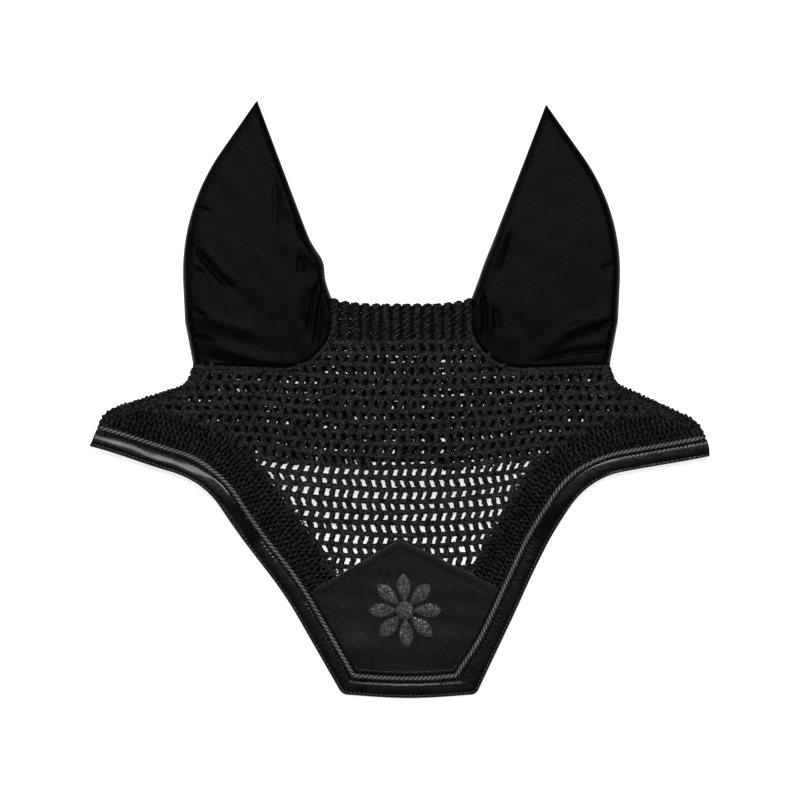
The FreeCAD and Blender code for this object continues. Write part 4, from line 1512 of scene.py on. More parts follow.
@dataclass
class Binding:
    """Glossy strip folded round the hem, puckered by its stitches, in a long and a short length."""

    leather: bpy.types.Material
    thread: bpy.types.Material
    rim: float = 2.1
    stitch_pitch: float = 3.6
    step: float = 1.3
    joint_from_cheek: float = 31.0
    joint_lap: int = 3
    joint_rise: float = 0.25

    def profile(self) -> tuple[np.ndarray, np.ndarray]:
        """Cross-section, from the inner edge over the top and the rim to the underside.

        Returns:
            Insets from the hem, and heights above the panel's underside.
        """
        width = PLAN.binding_width
        section = np.array([
            (width, 2.4), (width - 0.1, 3.1), (width - 0.6, 3.6), (width - 1.5, 3.9), (11.0, 4.1), (9.5, 4.2),
            (8.0, 4.25), (6.5, 4.25), (5.0, 4.15), (4.0, 4.05), (3.2, 3.85), (self.rim + 0.4, 3.5),
            (self.rim, 3.4), (1.6, 3.6), (1.1, 3.55), (0.6, 3.2), (0.25, 2.6), (0.0, 1.8), (0.0, 1.0),
            (0.2, 0.3), (0.7, -0.3), (1.6, -0.7), (4.0, -0.8), (8.0, -0.8), (width - 1.0, -0.7),
            (width, -0.2),
        ])
        return section[:, 0], section[:, 1]

    def hem(self, depth: float) -> np.ndarray:
        """Closely spaced points along the hem, moved inwards."""
        return PLAN.hem(depth, step=self.step)

    def relief(self, plan: np.ndarray, depth: float, reach: np.ndarray) -> np.ndarray:
        """How far the top leaf rises and falls along one inset.

        Args:
            plan: the inset's points.
            depth: the inset.
            reach: each point's distance along the hem.

        Returns:
            The change of height at each point.
        """
        pucker = np.exp(-((depth - self.rim - 0.8) / 2.6) ** 2)
        pucker = pucker + 1.5 * np.exp(-((depth - PLAN.binding_width + 1.0) / 1.8) ** 2)
        waves = 0.22 * np.sin(2 * math.pi * reach / self.stitch_pitch + 0.8 * np.sin(reach / 17.0))
        waves = waves * (0.4 + 0.6 * ripple(plan, 60.0, 9) ** 2) * pucker
        creases = 0.10 * ripple(plan, 17.0, 10)
        roll = 0.12 * ripple(plan, 70.0, 12) * (depth - 7.0) / 7.0
        return waves + creases + roll - self.fall(plan, depth)

    def fall(self, plan: np.ndarray, depth: float) -> np.ndarray:
        """How far the inner part tips towards the rope, on the left wing and along the bottom.

        Args:
            plan: the points of one inset.
            depth: the inset.

        Returns:
            The fall at each point.
        """
        x, y = plan[:, 0], plan[:, 1]
        on_wing = 0.19 * (1 - ease(x, -175.0, -135.0))
        kink = 4.9 + 0.8 * ripple(plan, 30.0, 14)
        at_bottom = ease(-y, 222.0, 229.0) * (1 - ease(np.abs(x), 48.0, 54.0))
        along_bottom = at_bottom * (0.24 + 0.05 * ripple(plan, 9.0, 16))
        return on_wing * np.maximum(depth - kink, 0.0) + along_bottom * max(depth - 11.0, 0.0)

    def skin(self) -> np.ndarray:
        """Points of the whole strip, by profile point and place along the hem.

        Returns:
            The points.
        """
        reach = distances_along(self.hem(0.0))
        rows = []
        for depth, height in zip(*self.profile()):
            plan = self.hem(float(depth))
            z = PLAN.front_under(plan[:, 1]) + height
            if height > 1.5:
                z = z + self.relief(plan, depth, reach)
            rows.append(raised(plan, np.maximum(z, 0.05)))
        return np.stack(rows)

    def joint_place(self) -> int:
        """Which place along the hem the two lengths meet at."""
        cheek, flank = np.array(PLAN.cheek[:2]), np.array(PLAN.flank[:2])
        joint = cheek + unit(flank - cheek) * self.joint_from_cheek
        return int(np.argmin(np.linalg.norm(self.hem(0.0) - joint, axis=1)))

    def strip(self, name: str, part: np.ndarray) -> bpy.types.Object:
        """Mesh of one length of the strip, closed at its ends.

        Args:
            name: the piece's name.
            part: its points, by profile point and place.

        Returns:
            The object.
        """
        rows, columns = part.shape[:2]
        ordered = part.transpose(1, 0, 2)
        quads = grid_quads(columns, rows, wrap=True)
        ends = np.array([np.arange(rows)[::-1], np.arange(rows) + (columns - 1) * rows])
        return mesh_object(name, ordered.reshape(-1, 3), [quads, ends])

    def stitches(self, name: str, depth: float, height: float, pitch: float, radius: float) -> None:
        """Row of thread stitches along the hem.

        Args:
            name: the piece's name.
            depth: inset from the hem.
            height: height above the panel's underside.
            pitch: from one stitch to the next.
            radius: the thread's.
        """
        line = Line(self.hem(depth))
        rng = np.random.default_rng(int(depth * 10))
        places = np.arange(0.0, line.length - pitch, pitch)
        share = np.linspace(0.0, 1.0, 5)
        distance = places[:, None] + share[None] * pitch * 0.72
        plan = line.at(distance)
        bow = radius * 1.6 * np.sin(math.pi * share)[None] - radius * 0.9
        wander = rng.normal(0.0, 0.12, (len(places), 1))
        z = PLAN.front_under(plan[..., 1]) + height + bow + wander
        strands = Strands()
        strands.add(raised(plan, z), radius * (0.55 + 0.45 * np.sin(math.pi * share)))
        dress(strands.build(name), self.thread, Slot.THREAD)

    def build(self) -> None:
        """Make both lengths and their stitches."""
        skin = self.skin()
        joint = self.joint_place()
        short = self.strip("short_binding", skin[:, :joint + self.joint_lap] + UP * self.joint_rise)
        long = self.strip("long_binding", skin[:, joint:])
        dress(short, self.leather, Slot.LEATHER, "binding_wing_strip")
        dress(long, self.leather, Slot.LEATHER, "edge_binding")
        self.stitches("rim_stitches", self.rim + 0.1, 3.5, self.stitch_pitch, 0.30)
        self.stitches("rope_seam_stitches", PLAN.binding_width + 0.1, 3.2, 3.0, 0.34)


# ---- shield
@dataclass
class Shield:
    """Satin shield with its top edges folded under and stitched, and the rosette on it."""

    satin: bpy.types.Material
    glitter: bpy.types.Material
    thread: bpy.types.Material
    edging: bpy.types.Material
    apex: tuple[float, float] = (-1.2, -117.2)
    right_slope: float = 26.6
    left_slope: float = 29.6
    cloth: float = 1.2
    hem_fold: float = 7.0
    middle_y: float = -185.0
    mounds: tuple[tuple[float, float, float, float], ...] = (
        (-45.0, -212.0, 15.0, 1.9), (36.0, -211.0, 12.0, 1.2))
    petal_count: int = 8
    petal_from: float = 7.2
    petal_half_width: float = 5.7
    hub_radius: float = 7.4
    rosette_reach: float = 31.0
    rosette_drop: float = 62.0

    def top_edge(self, x: np.ndarray) -> np.ndarray:
        """Height on the plan of the chevron edge."""
        slope = np.where(x > self.apex[0], self.right_slope, self.left_slope)
        return self.apex[1] - np.abs(x - self.apex[0]) * np.tan(np.radians(slope))

    def ring(self) -> np.ndarray:
        """Edge of the shield.

        Returns:
            A dense closed ring, from the apex clockwise.
        """
        side = PLAN.hem(PLAN.shield_inset, least_radius=2.0, step=1.5)
        below = side[side[:, 1] < self.top_edge(side[:, 0])]
        right, left = below[0], below[-1]
        apex = np.array(self.apex)
        share = np.linspace(0.0, 1.0, 60)[:, None]
        down = apex + (right - apex) * share
        up = left + (apex - left) * share
        return np.vstack([down[:-1], below, up[1:-1]])

    def surface(self, plan: np.ndarray) -> np.ndarray:
        """Height of the cloth, which is doubled and stitched along its top edges.

        Args:
            plan: array whose last axis is x, y.

        Returns:
            The height at each point.
        """
        x, y = plan[..., 0], plan[..., 1]
        from_top = (self.top_edge(x) - y) * math.cos(math.radians(28.0))
        doubled = 0.22 * (1 - ease(from_top, self.hem_fold - 1.5, self.hem_fold + 1.5))
        dimple = -0.22 * np.exp(-((from_top - 1.9) / 0.7) ** 2)
        rounded_edge = -0.7 * (1 - ease(from_top, 0.0, 0.9))
        puff = 0.30 * ripple(plan, 75.0, 61) + 0.28 * ripple(plan, 26.0, 62) + 0.08 * ripple(plan, 9.0, 63)
        for mound_x, mound_y, reach, height in self.mounds:
            gap = ((x - mound_x) ** 2 + (y - mound_y) ** 2) / reach ** 2
            puff = puff + height * np.exp(-gap)
        base = PLAN.front_under(y) + PLAN.yarn + self.cloth
        return base + doubled + dimple + rounded_edge + puff

    def panel(self) -> None:
        """Satin panel, a closed thin sheet."""
        ring = self.ring()
        centre = np.array([0.0, self.middle_y])
        shares = np.linspace(0.0, 1.0, 46)[:0:-1, None, None]
        plan = centre + (ring - centre)[None] * shares
        top = raised(plan, self.surface(plan))
        hub = raised(centre[None], self.surface(centre[None]))
        down = UP * self.cloth
        points = np.vstack([top[0] - down, top.reshape(-1, 3), hub, hub - down])
        rows, columns = top.shape[:2]
        last = rows * columns
        quads = grid_quads(rows + 1, columns, wrap=True)
        upper = fan(last, columns, last + columns)
        under = fan(0, columns, last + columns + 1)
        faces = [quads[:, ::-1], upper[:, ::-1], under[:, [2, 0, 1]]]
        piece = mesh_object("shield_satin_panel", points, faces)
        dress(piece, self.satin, Slot.SATIN, "shield_panel")

    def edge_stitches(self) -> None:
        """Fine stitches along the folded top edges and the row above the rope at the bottom."""
        strands = Strands()
        corner_x = float(np.max(self.ring()[:, 0]))
        runs = []
        for side in (-1.0, 1.0):
            x = np.array([side * 1.5, side * (corner_x - 2.5)])
            runs.append(Line(np.column_stack([x, self.top_edge(x) - 2.0])))
        hem = PLAN.hem(PLAN.shield_inset + 2.6, least_radius=3.0)
        runs.append(Line(hem[hem[:, 1] < -225.0]))
        share = np.linspace(0.0, 1.0, 5)
        for run in runs:
            places = np.arange(0.5, run.length - 2.5, 2.7)
            plan = run.at(places[:, None] + share[None] * 1.9)
            z = self.surface(plan) + 0.30 * np.sin(math.pi * share)[None] - 0.05
            strands.add(raised(plan, z), 0.24)
        dress(strands.build("shield_stitches"), self.thread, Slot.THREAD)

    def petal(self, centre: np.ndarray, angle: float) -> tuple[np.ndarray, np.ndarray]:
        """One petal of the rosette, with a raised rim.

        Args:
            centre: the rosette's.
            angle: which way the petal points.

        Returns:
            Its points by row outwards and column across, and its edge on the plan.
        """
        across = np.linspace(-1.0, 1.0, 13)
        along = np.linspace(0.0, 1.0, 22)
        out = np.array([math.cos(angle), math.sin(angle)])
        side = np.array([-out[1], out[0]])
        reach = self.petal_from + (self.rosette_reach - self.petal_from) * along
        half = self.petal_half_width * np.sin(math.pi * along ** 1.25) ** 0.8 + 0.05
        plan = centre + out * reach[:, None, None] + side * (half[:, None] * across[None])[..., None]
        rim = np.exp(-((1 - np.abs(across)) / 0.16) ** 2)[None]
        ends = np.sin(math.pi * along)[:, None] ** 0.5
        height = 0.35 + 0.45 * (1 - across[None] ** 2) * ends + 0.3 * rim
        drop = np.where(np.abs(across) > 0.99, -0.3, 0.0)[None]
        return raised(plan, self.surface(plan) + height + drop), np.vstack([plan[:, 0], plan[::-1, -1]])

    def rosette(self) -> None:
        """Eight glitter petals round a domed hub."""
        centre = np.array([0.0, self.apex[1] - self.rosette_drop])
        vertices, quads, rims = [], [], []
        offset = 0
        for petal in range(self.petal_count):
            points, rim = self.petal(centre, 2 * math.pi * petal / self.petal_count)
            rows, columns = points.shape[:2]
            vertices.append(points.reshape(-1, 3))
            quads.append(grid_quads(rows, columns, first=offset))
            rims.append(rim)
            offset += rows * columns
        rings, spokes = 8, 48
        radius = np.linspace(1.0, 0.0, rings + 1)[:-1] * self.hub_radius
        turn = 2 * math.pi * np.arange(spokes) / spokes
        plan = centre + radius[:, None, None] * np.stack([np.cos(turn), np.sin(turn)], axis=-1)[None]
        rims.append(plan[0])
        dome = 0.25 + 0.7 * np.sqrt(np.maximum(0.0, 1 - (radius / (self.hub_radius + 0.1)) ** 2))
        vertices.append(raised(plan, self.surface(plan) + dome[:, None]).reshape(-1, 3))
        vertices.append(raised(centre[None], self.surface(centre[None]) + 0.95))
        quads.append(grid_quads(rings, spokes, wrap=True, first=offset))
        last = offset + (rings - 1) * spokes
        top = fan(last, spokes, last + spokes)
        piece = mesh_object("rosette", np.vstack(vertices), [np.vstack(quads), top])
        self.rosette_edging(rims)
        dress(piece, self.glitter, Slot.GLITTER, "shield_motif")

    def rosette_edging(self, rims: Sequence[np.ndarray]) -> None:
        """Satin edging round every petal and the hub.

        Args:
            rims: closed rings on the plan.
        """
        strands = Strands()
        for rim in rims:
            line = Line(np.vstack([rim, rim[:1]]))
            plan = line.at(np.linspace(0.0, line.length, 60))
            strands.add(raised(plan, self.surface(plan) + 0.42), 0.42)
        dress(strands.build("rosette_edging"), self.edging, Slot.THREAD)

    def build(self) -> None:
        """Make the shield and what is on it."""
        self.panel()
        self.edge_stitches()
        self.rosette()


# ---- ears
EAR_PARTS = ("front_panel", "back_panel", "base_front", "base_back")


@dataclass(frozen=True)
class Crease:
    """One soft fold in a sleeve: a ridge where its height is positive and a groove where negative."""

    path: tuple[tuple[float, float], ...]
    height: float
    width: float


LEFT_CREASES = (
    Crease(((-107.5, 188.3), (-106.5, 164.9), (-108.0, 139.4)), -0.88, 3.0),
    Crease(((-96.9, 188.3), (-94.8, 169.2), (-92.6, 152.2)), 0.58, 8.8),
    Crease(((-173.4, 162.3), (-162.3, 158.5)), -0.8, 1.7),
    Crease(((-175.9, 128.3), (-163.8, 113.9), (-154.3, 103.3), (-143.2, 93.1)), -1.94, 2.3),
    Crease(((-171.3, 133.0), (-158.5, 117.1), (-147.9, 105.4), (-138.3, 95.8)), 0.64, 4.9),
    Crease(((-177.7, 111.8), (-167.0, 105.4)), -0.7, 1.6),
    Crease(((-179.3, 152.2), (-179.3, 96.9)), -0.7, 1.4),
    Crease(((-175.5, 75.2), (-167.0, 69.7)), -1.15, 1.6),
    Crease(((-171.3, 71.4), (-150.0, 64.0), (-120.3, 54.4)), 0.86, 5.7),
    Crease(((-175.5, 52.3), (-160.7, 49.1)), -1.41, 1.7),
    Crease(((-164.9, 45.9), (-141.5, 39.5), (-103.3, 27.8)), 1.15, 5.9),
    Crease(((-164.9, 35.3), (-139.4, 27.8)), -0.7, 3.0),
    Crease(((-88.4, 152.2), (-82.0, 134.1)), -1.33, 2.6),
    Crease(((-85.2, 122.4), (-85.8, 105.4)), -1.58, 3.2),
    Crease(((-76.7, 126.6), (-71.8, 111.8)), 0.93, 4.1),
    Crease(((-66.7, 106.5), (-75.6, 94.8), (-79.5, 75.6), (-81.0, 60.8)), 0.86, 2.3),
    Crease(((-69.3, 100.1), (-76.3, 85.2), (-77.8, 67.1), (-78.2, 54.4)), -1.76, 1.5),
    Crease(((-66.1, 94.8), (-69.3, 77.8), (-71.8, 54.4), (-73.5, 41.6)), -1.76, 2.3),
    Crease(((-61.8, 82.0), (-62.5, 60.8)), 0.93, 3.5),
    Crease(((-83.1, 88.4), (-84.1, 60.8)), -0.8, 1.7),
)

RIGHT_CREASES = (
    Crease(((67.1, 91.6), (70.3, 77.8), (71.0, 60.8), (68.4, 49.1)), -2.02, 1.6),
    Crease(((62.9, 88.4), (65.0, 67.1), (63.8, 52.3)), 0.64, 2.4),
    Crease(((73.5, 88.4), (75.6, 67.1), (73.1, 50.1)), 0.51, 2.2),
    Crease(((79.5, 77.8), (81.6, 56.5)), -1.15, 2.4),
    Crease(((89.0, 147.9), (81.6, 126.6), (72.0, 109.6)), 0.75, 4.9),
    Crease(((95.4, 143.7), (90.1, 122.4), (83.7, 105.4)), -0.8, 3.0),
    Crease(((182.5, 71.0), (160.2, 66.1), (141.1, 56.5), (117.7, 39.5)), 1.22, 5.7),
    Crease(((181.0, 68.2), (170.8, 61.8), (164.5, 56.5)), -1.76, 2.0),
    Crease(((178.9, 42.7), (143.2, 39.5), (113.5, 31.4)), -1.76, 1.7),
    Crease(((177.2, 49.1), (149.6, 45.9), (124.1, 37.4)), 0.58, 4.1),
    Crease(((151.7, 64.0), (134.7, 56.5)), 0.51, 4.1),
    Crease(((182.5, 113.9), (168.7, 109.6)), -0.53, 3.0),
)


@dataclass
class EarSleeve:
    """One stretch-cloth sleeve: front and back cloth joined at the sides and sewn to the crochet."""

    side: str
    material: bpy.types.Material
    creases: tuple[Crease, ...]
    tip: tuple[float, float] = (122.8, 254.0)
    belly: tuple[float, float, float] = (188.5, 160.0, 180.0)
    calf: tuple[float, float, float] = (184.0, 66.0, 40.0)
    base_height: float = 12.9
    tip_height: float = 6.0
    hinge_y: float = 90.0
    bend: float = 12.0
    hinge_height: float = 13.0
    shoulder: float = 8.0
    edge_height: float = 0.7
    cloth: float = 0.6
    swell_y: float = 117.0
    inner_swell: float = 0.5
    flat: tuple[float, float] = (0.27, 0.24)
    rows: int = 190
    columns: int = 104

    def edges(self) -> tuple[np.ndarray, np.ndarray, np.ndarray]:
        """Edges of the right ear's cloth.

        Returns:
            The inner and the outer edge, up to the tip, and the base seam between their feet.
        """
        tip = Corner(*self.tip, 0, Edge.EAR)
        outer_foot = Corner(PLAN.ear_outer_base, PLAN.ear_outer_y, 0, Edge.EAR)
        inner = Line(np.array([[PLAN.crown_half_width, PLAN.crown_height], [tip.x, tip.y]]))
        corners = [tip, Corner(*self.belly, Edge.EAR), Corner(*self.calf, Edge.EAR), outer_foot]
        outer = Line(rounded(corners, False, [(1, 12), (40, 12), (14, 10), (1, 1)])[::-1])
        base = PLAN.ear_foot(PLAN.crown_height, (outer_foot.x, outer_foot.y), [(1, 6), (30, 20), (1, 1)])
        share = np.linspace(0.0, 1.0, self.rows)
        inner_points = inner.at(share * inner.length)
        swell = np.exp(-((inner_points[:, 1] - self.swell_y) / 12.0) ** 2)
        inner_points[:, 0] -= self.inner_swell * swell
        across = np.linspace(0.0, 1.0, self.columns)
        return inner_points, outer.at(share * outer.length), base.at(across * base.length)

    def plan(self) -> np.ndarray:
        """Points over the right ear's sleeve.

        Returns:
            The points, by row towards the tip and by column from the inner edge.
        """
        inner, outer, base = self.edges()
        tip = inner[-1]
        v = np.linspace(0.0, 1.0, self.rows)[:, None, None]
        u = np.linspace(0.0, 1.0, self.columns)[None, :, None]
        sides = (1 - u) * inner[:, None] + u * outer[:, None]
        ends = (1 - v) * base[None] + v * tip
        corners = (1 - v) * ((1 - u) * base[0] + u * base[-1]) + v * tip
        return sides + ends - corners

    def heights(self, plan: np.ndarray) -> np.ndarray:
        """Height of the front cloth: a low dome, with its folds, down to the seams.

        Args:
            plan: array whose last axis is x, y, for the right side.

        Returns:
            The height at each point.
        """
        inner, outer, base = self.edges()
        to_inner, _ = nearest(plan, inner[::3])
        to_outer, _ = nearest(plan, outer[::2])
        to_base, _ = nearest(plan, base[::2])
        gap = np.minimum(to_inner, to_outer)
        fall = ease(plan[..., 1], self.hinge_y - 40.0, self.tip[1] + 60.0)
        full = self.base_height - 1.0 - (self.base_height - self.tip_height) * fall * 1.2
        room = np.clip(gap / self.shoulder, 0.0, 1.0)
        dome = np.sqrt(np.maximum(1 - (1 - room) ** 2.2, 0.0))
        z = self.edge_height + (full - self.edge_height) * dome
        true_plan = plan * np.array([MIRROR[self.side], 1.0])
        soft = 0.55 * ripple(true_plan, 62.0, 71) + 0.25 * ripple(true_plan, 24.0, 72)
        relief = soft * ease(gap, 2.0, 16.0)
        for crease in self.creases:
            distance, share = nearest(true_plan, np.array(crease.path))
            taper = np.clip(np.sin(math.pi * np.clip(share, 0.04, 0.96)) * 1.6, 0.0, 1.0)
            relief = relief + crease.height * np.exp(-(distance / crease.width) ** 2) * taper
        seam = ease(to_base, 0.3, 5.0)
        sewn_height = PLAN.yarn * 2 + PLAN.pocket - 1.0
        z = z + relief * ease(to_base, 0.0, 6.0)
        return z * seam + np.minimum(z, sewn_height) * (1 - seam) - 0.9 * (1 - ease(to_base, 0.2, 2.4))

    def skin(self, plan: np.ndarray) -> bpy.types.Object:
        """Sleeve of front and back cloth, open at its base.

        Args:
            plan: points over the sleeve, for the right side.

        Returns:
            The sleeve, without thickness.
        """
        mirror = MIRROR[self.side]
        front = raised(plan, self.heights(plan), mirror)
        back = raised(plan, 0.25 + 0.12 * ripple(plan, 30.0, 73), mirror)
        loop = np.concatenate([front, back[:, ::-1]], axis=1)[:-1]
        rows, columns = loop.shape[:2]
        last = (rows - 1) * columns
        here = np.arange(self.columns - 1)
        far = last + columns - 1 - here
        closing = np.stack([last + here, last + here + 1, far - 1, far], axis=-1)
        faces = np.vstack([grid_quads(rows, columns, wrap=True), closing])
        if mirror < 0:
            faces = faces[:, ::-1]
        return mesh_object(f"{self.side}_ear_sleeve", loop.reshape(-1, 3), [faces])

    def build(self) -> None:
        """Build the sleeve and give it thickness."""
        plan = self.plan()
        piece = self.skin(plan)
        self.thicken(piece)
        piece.data.materials.append(self.material)
        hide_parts(*(f"{self.side}_ear_{part}" for part in EAR_PARTS))
        x, z = 125.0 * MIRROR[self.side] * MM, self.hinge_height * MM
        start, end = (self.hinge_y - self.bend) * MM, (self.hinge_y + self.bend) * MM
        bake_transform(piece)
        LOG.info("%s: %d faces", piece.name, len(piece.data.polygons))

    def thicken(self, piece: bpy.types.Object) -> None:
        """Give the cloth its thickness, inwards.

        Args:
            piece: the sleeve.
        """
        modifier = piece.modifiers.new("cloth", "SOLIDIFY")
        modifier.thickness = self.cloth * MM
        modifier.offset = -1.0
        modifier.use_even_offset = False
        depsgraph = bpy.context.evaluated_depsgraph_get()
        thick = bpy.data.meshes.new_from_object(piece.evaluated_get(depsgraph))
        piece.modifiers.clear()
        piece.data = thick


@dataclass(frozen=True)
class SeamLayer:
    """Where the allowances of one layer lie: their height, and which way their overlocking faces."""

    height: float
    facing: float


SEAM_LAYERS = {"front": SeamLayer(9.6, -1.0), "back": SeamLayer(3.4, 1.0)}


@dataclass
class SeamAllowances:
    """Overlocked edges of the ear cloth, turned onto the crochet inside the pocket."""

    cloth: bpy.types.Material
    thread: bpy.types.Material
    width: float = 5.6
    inner: float = 0.3
    top: float = 0.35
    underside: float = -0.25
    stitch_pitch: float = 1.1

    def ribbon(self, name: str, line: Line, height: float, mirror: float) -> bpy.types.Object:
        """Flat ribbon of cloth beside a line.

        Args:
            name: the piece's name.
            line: the ear's foot.
            height: of the cloth's middle.
            mirror: -1 for the left side.

        Returns:
            The ribbon.
        """
        distance = np.linspace(0.0, line.length, 150)
        middle, inward = line.at(distance), to_right(line.heading(distance))
        section = ((self.inner, self.top), (self.width, self.top), (self.width, self.underside),
                   (self.inner, self.underside))
        rows = [raised(middle + inward * across, height + level, mirror) for across, level in section]
        quads = grid_quads(len(distance), 4, wrap=True)
        ends = np.array([[3, 2, 1, 0], np.arange(4) + 4 * (len(distance) - 1)])
        return mesh_object(name, np.stack(rows, axis=1).reshape(-1, 3), [np.vstack([quads, ends])])

    def build(self, side: str, layer: str) -> None:
        """Make one allowance and the thread that overlocks it.

        Args:
            side: "left" or "right".
            layer: "front" or "back".
        """
        mirror, lies = MIRROR[side], SEAM_LAYERS[layer]
        line = PLAN.ear_foot(66.0, (168.0, PLAN.ear_outer_y - 0.4))
        ribbon = self.ribbon(f"{side}_{layer}_allowance", line, lies.height, mirror)
        dress(ribbon, self.cloth, Slot.CLOTH, f"{side}_ear_{layer}_seam")
        places = np.linspace(0.5, line.length - 0.5, int(line.length / self.stitch_pitch) * 2)
        zigzag = np.where(np.arange(len(places)) % 2, 0.5, self.width * 0.92)
        plan = line.at(places) + to_right(line.heading(places)) * zigzag[:, None]
        strands = Strands(sides=4)
        strands.add(raised(plan, lies.height + 0.5 * lies.facing, mirror), 0.28)
        dress(strands.build(f"{side}_{layer}_overlock"), self.thread, Slot.THREAD)


# ---- studio
@dataclass(frozen=True)
class Lamp:
    """One area lamp, aimed at the middle of the bonnet; sizes in metres, power in watts."""

    name: str
    place: tuple[float, float, float]
    width: float
    depth: float
    power: float
    turn: float = 0.0


LAMPS = (
    Lamp("key_lamp", (0.11, 0.80, 2.64), 0.95, 0.36, 42.0, -25.0),
    Lamp("broad_lamp", (-1.5, 1.2, 1.7), 1.2, 1.0, 15.0),
    Lamp("low_lamp", (-1.2, -2.2, 1.5), 1.2, 0.4, 9.0),
)


def link(name: str, data: bpy.types.ID) -> bpy.types.Object:
    """Put a new object into the scene."""
    item = bpy.data.objects.new(name, data)
    bpy.context.scene.collection.objects.link(item)
    return item


@dataclass
class Studio:
    """Pale floor, soft lamps and the camera straight above, in metres."""

    camera_height: float = 3.0
    view_width: float = 0.68
    centre: tuple[float, float] = (-0.00128, -0.00085)
    sensor_mm: float = 36.0
    sky_level: float = 0.30
    ceiling_gloss: float = 0.04
    floor_half_width: float = 6.0
    floor_drop: float = 0.0003
    floor_glow: float = 0.72
    floor_grey: float = 0.55

    def build(self) -> None:
        """Set up the studio."""
        self.floor()
        self.world()
        for lamp in LAMPS:
            self.lamp(lamp)
        self.camera()

    def floor(self) -> None:
        """White floor that keeps the bonnet's shadow."""
        shader = Shader(bpy.data.materials.new("studio_floor"))
        seen = shader.ramp(shader.rays("Camera", "Glossy", "Transmission"), 0.0, 1.0)
        glow = shader.add("Emission", {"Strength": seen * self.floor_glow})
        grey = (self.floor_grey, self.floor_grey, self.floor_grey, 1.0)
        matt = shader.add("BsdfDiffuse", {"Color": grey})
        both = shader.add("AddShader", {0: glow.outputs[0], 1: matt.outputs[0]})
        shader.add("OutputMaterial", {"Surface": both.outputs[0]})
        half = self.floor_half_width
        signs = ((-1, -1), (1, -1), (1, 1), (-1, 1))
        mesh = bpy.data.meshes.new("floor")
        mesh.from_pydata([(half * x, half * y, -self.floor_drop) for x, y in signs], [], [(0, 1, 2, 3)])
        mesh.materials.append(shader.owner)
        link("floor", mesh)

    def world(self) -> None:
        """Plain sky: white where it is looked at, dark overhead for what is glossy."""
        world = bpy.data.worlds.new("studio_world")
        bpy.context.scene.world = world
        shader = Shader(world)
        split = shader.add("SeparateXYZ", {0: shader.add("TexCoord").outputs["Generated"]})
        low = 1.0 - shader.ramp(Value(shader, split.outputs[2]), 0.05, 0.30)
        camera = shader.rays("Camera")
        glossy = shader.ramp(shader.rays("Glossy", "Transmission"), 0.0, 1.0) * (1.0 - camera)
        plain = 1.0 - shader.ramp(glossy + camera, 0.0, 1.0)
        mirrored = low * (1.0 - self.ceiling_gloss) + self.ceiling_gloss
        level = camera + glossy * mirrored + plain * self.sky_level
        sky = shader.add("Background", {"Color": (1.0, 1.0, 1.0, 1.0), "Strength": level})
        shader.add("OutputWorld", {"Surface": sky.outputs[0]})

    def lamp(self, lamp: Lamp) -> None:
        """Hang one lamp.

        Args:
            lamp: where it is, its size and its power.
        """
        data = bpy.data.lights.new(lamp.name, "AREA")
        data.shape = "RECTANGLE"
        data.size, data.size_y, data.energy = lamp.width, lamp.depth, lamp.power
        item = link(lamp.name, data)
        item.location = lamp.place
        turned = Quaternion((0.0, 0.0, 1.0), math.radians(lamp.turn))
        item.rotation_euler = (Vector(lamp.place).to_track_quat("Z", "Y") @ turned).to_euler()

    def camera(self) -> None:
        """Camera straight above the middle of the bonnet."""
        data = bpy.data.cameras.new("camera")
        data.sensor_width = self.sensor_mm
        data.lens = self.sensor_mm * self.camera_height / self.view_width
        data.clip_end = 50.0
        camera = link("camera", data)
        camera.location = (*self.centre, self.camera_height)
        bpy.context.scene.camera = camera
        bpy.context.scene.view_settings.view_transform = "Standard"


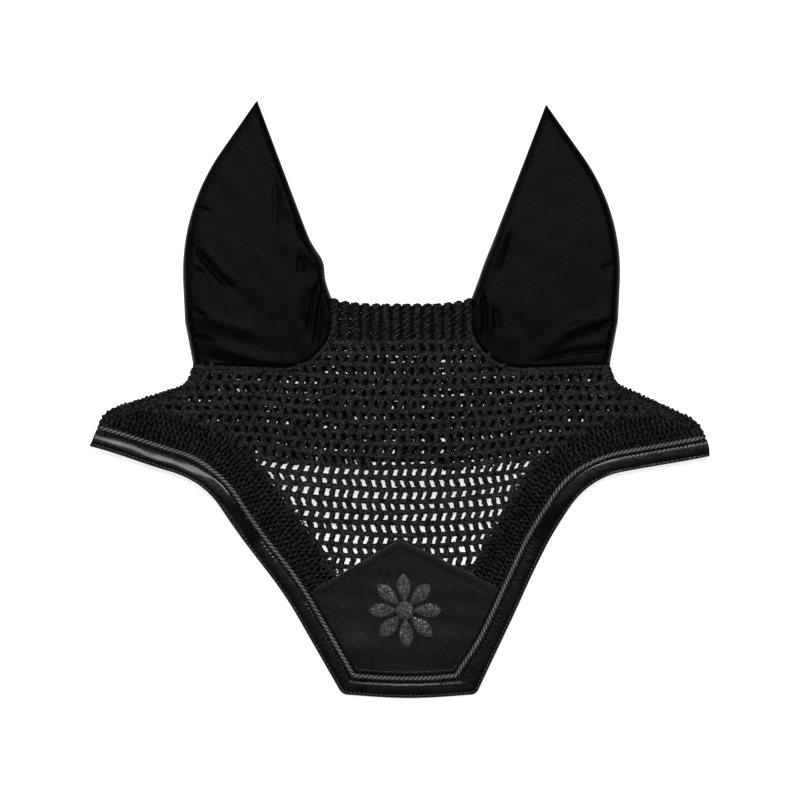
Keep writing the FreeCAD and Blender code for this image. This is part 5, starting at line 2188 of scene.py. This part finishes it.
# ---- main
def finishes() -> dict[Slot, bpy.types.Material]:
    """Make the finish of every slot.

    Returns:
        The materials by slot.
    """
    cotton = YarnFinish("crochet_cotton", dark=(0.0012, 0.0011, 0.0012), light=(0.100, 0.086, 0.094),
                        roughness=0.85, sheen=0.01, gloss=0.02, painted_crest_from=0.2, clumps=0.85)
    # the rope's light colour is a painted highlight on its strands' crests; its dark is the grooves' painted
    # shade
    rope = YarnFinish("twisted_rope", dark=(0.0012, 0.0012, 0.0012), light=(0.36, 0.36, 0.36),
                      roughness=0.4, sheen=0.0, gloss=0.10, plies=3.0, wind_mm=1.6, ply_depth_mm=0.10,
                      painted_crest_from=0.5)
    # the thread's light colour is set above its own dark grey as a painted highlight, so the stitches glint
    thread = YarnFinish("overlock_thread", dark=(0.05, 0.05, 0.05), light=(0.16, 0.16, 0.16),
                        roughness=0.4, sheen=0.0, gloss=0.6, wind_mm=0.9, ply_depth_mm=0.05)
    cloth = ClothFinish("stretch_cloth", dark=(0.0001, 0.0001, 0.0001), light=(0.0020, 0.0018, 0.0019),
                        roughness=0.37, gloss=0.030)
    satin = ClothFinish("shield_satin", dark=(0.0010, 0.0010, 0.0009), light=(0.0108, 0.0103, 0.0098),
                        roughness=0.36, gloss=0.09, knit_mm=0.5)
    leather = LeatherFinish("patent_leather", (0.0026, 0.0025, 0.0022), roughness=0.35, coat_roughness=0.11)
    glitter = GlitterFinish("glitter_film", ground=(0.005, 0.005, 0.005), flake=(0.13, 0.13, 0.13))
    made = (cotton, rope, thread, cloth, satin, leather, glitter)
    return {Slot(finish.name): finish.material() for finish in made}


def main() -> None:
    """Build the bonnet and its studio."""
    logging.basicConfig(level=logging.INFO, format="%(name)s %(message)s")
    Studio().build()
    finish = finishes()
    Crochet(finish[Slot.COTTON]).build()
    Rope(finish[Slot.ROPE]).build()
    Binding(finish[Slot.LEATHER], finish[Slot.THREAD]).build()
    edging = YarnFinish("rosette_edging", dark=(0.02, 0.02, 0.019), light=(0.055, 0.055, 0.052),
                        roughness=0.5, sheen=0.0, gloss=0.3).material()
    Shield(finish[Slot.SATIN], finish[Slot.GLITTER], finish[Slot.THREAD], edging).build()
    allowances = SeamAllowances(finish[Slot.CLOTH], finish[Slot.THREAD])
    for side, creases, swell in (("left", LEFT_CREASES, 4.4), ("right", RIGHT_CREASES, 0.5)):
        EarSleeve(side, finish[Slot.CLOTH], creases, inner_swell=swell).build()
        for layer in SEAM_LAYERS:
            allowances.build(side, layer)


if __name__ == "__main__":
    main()
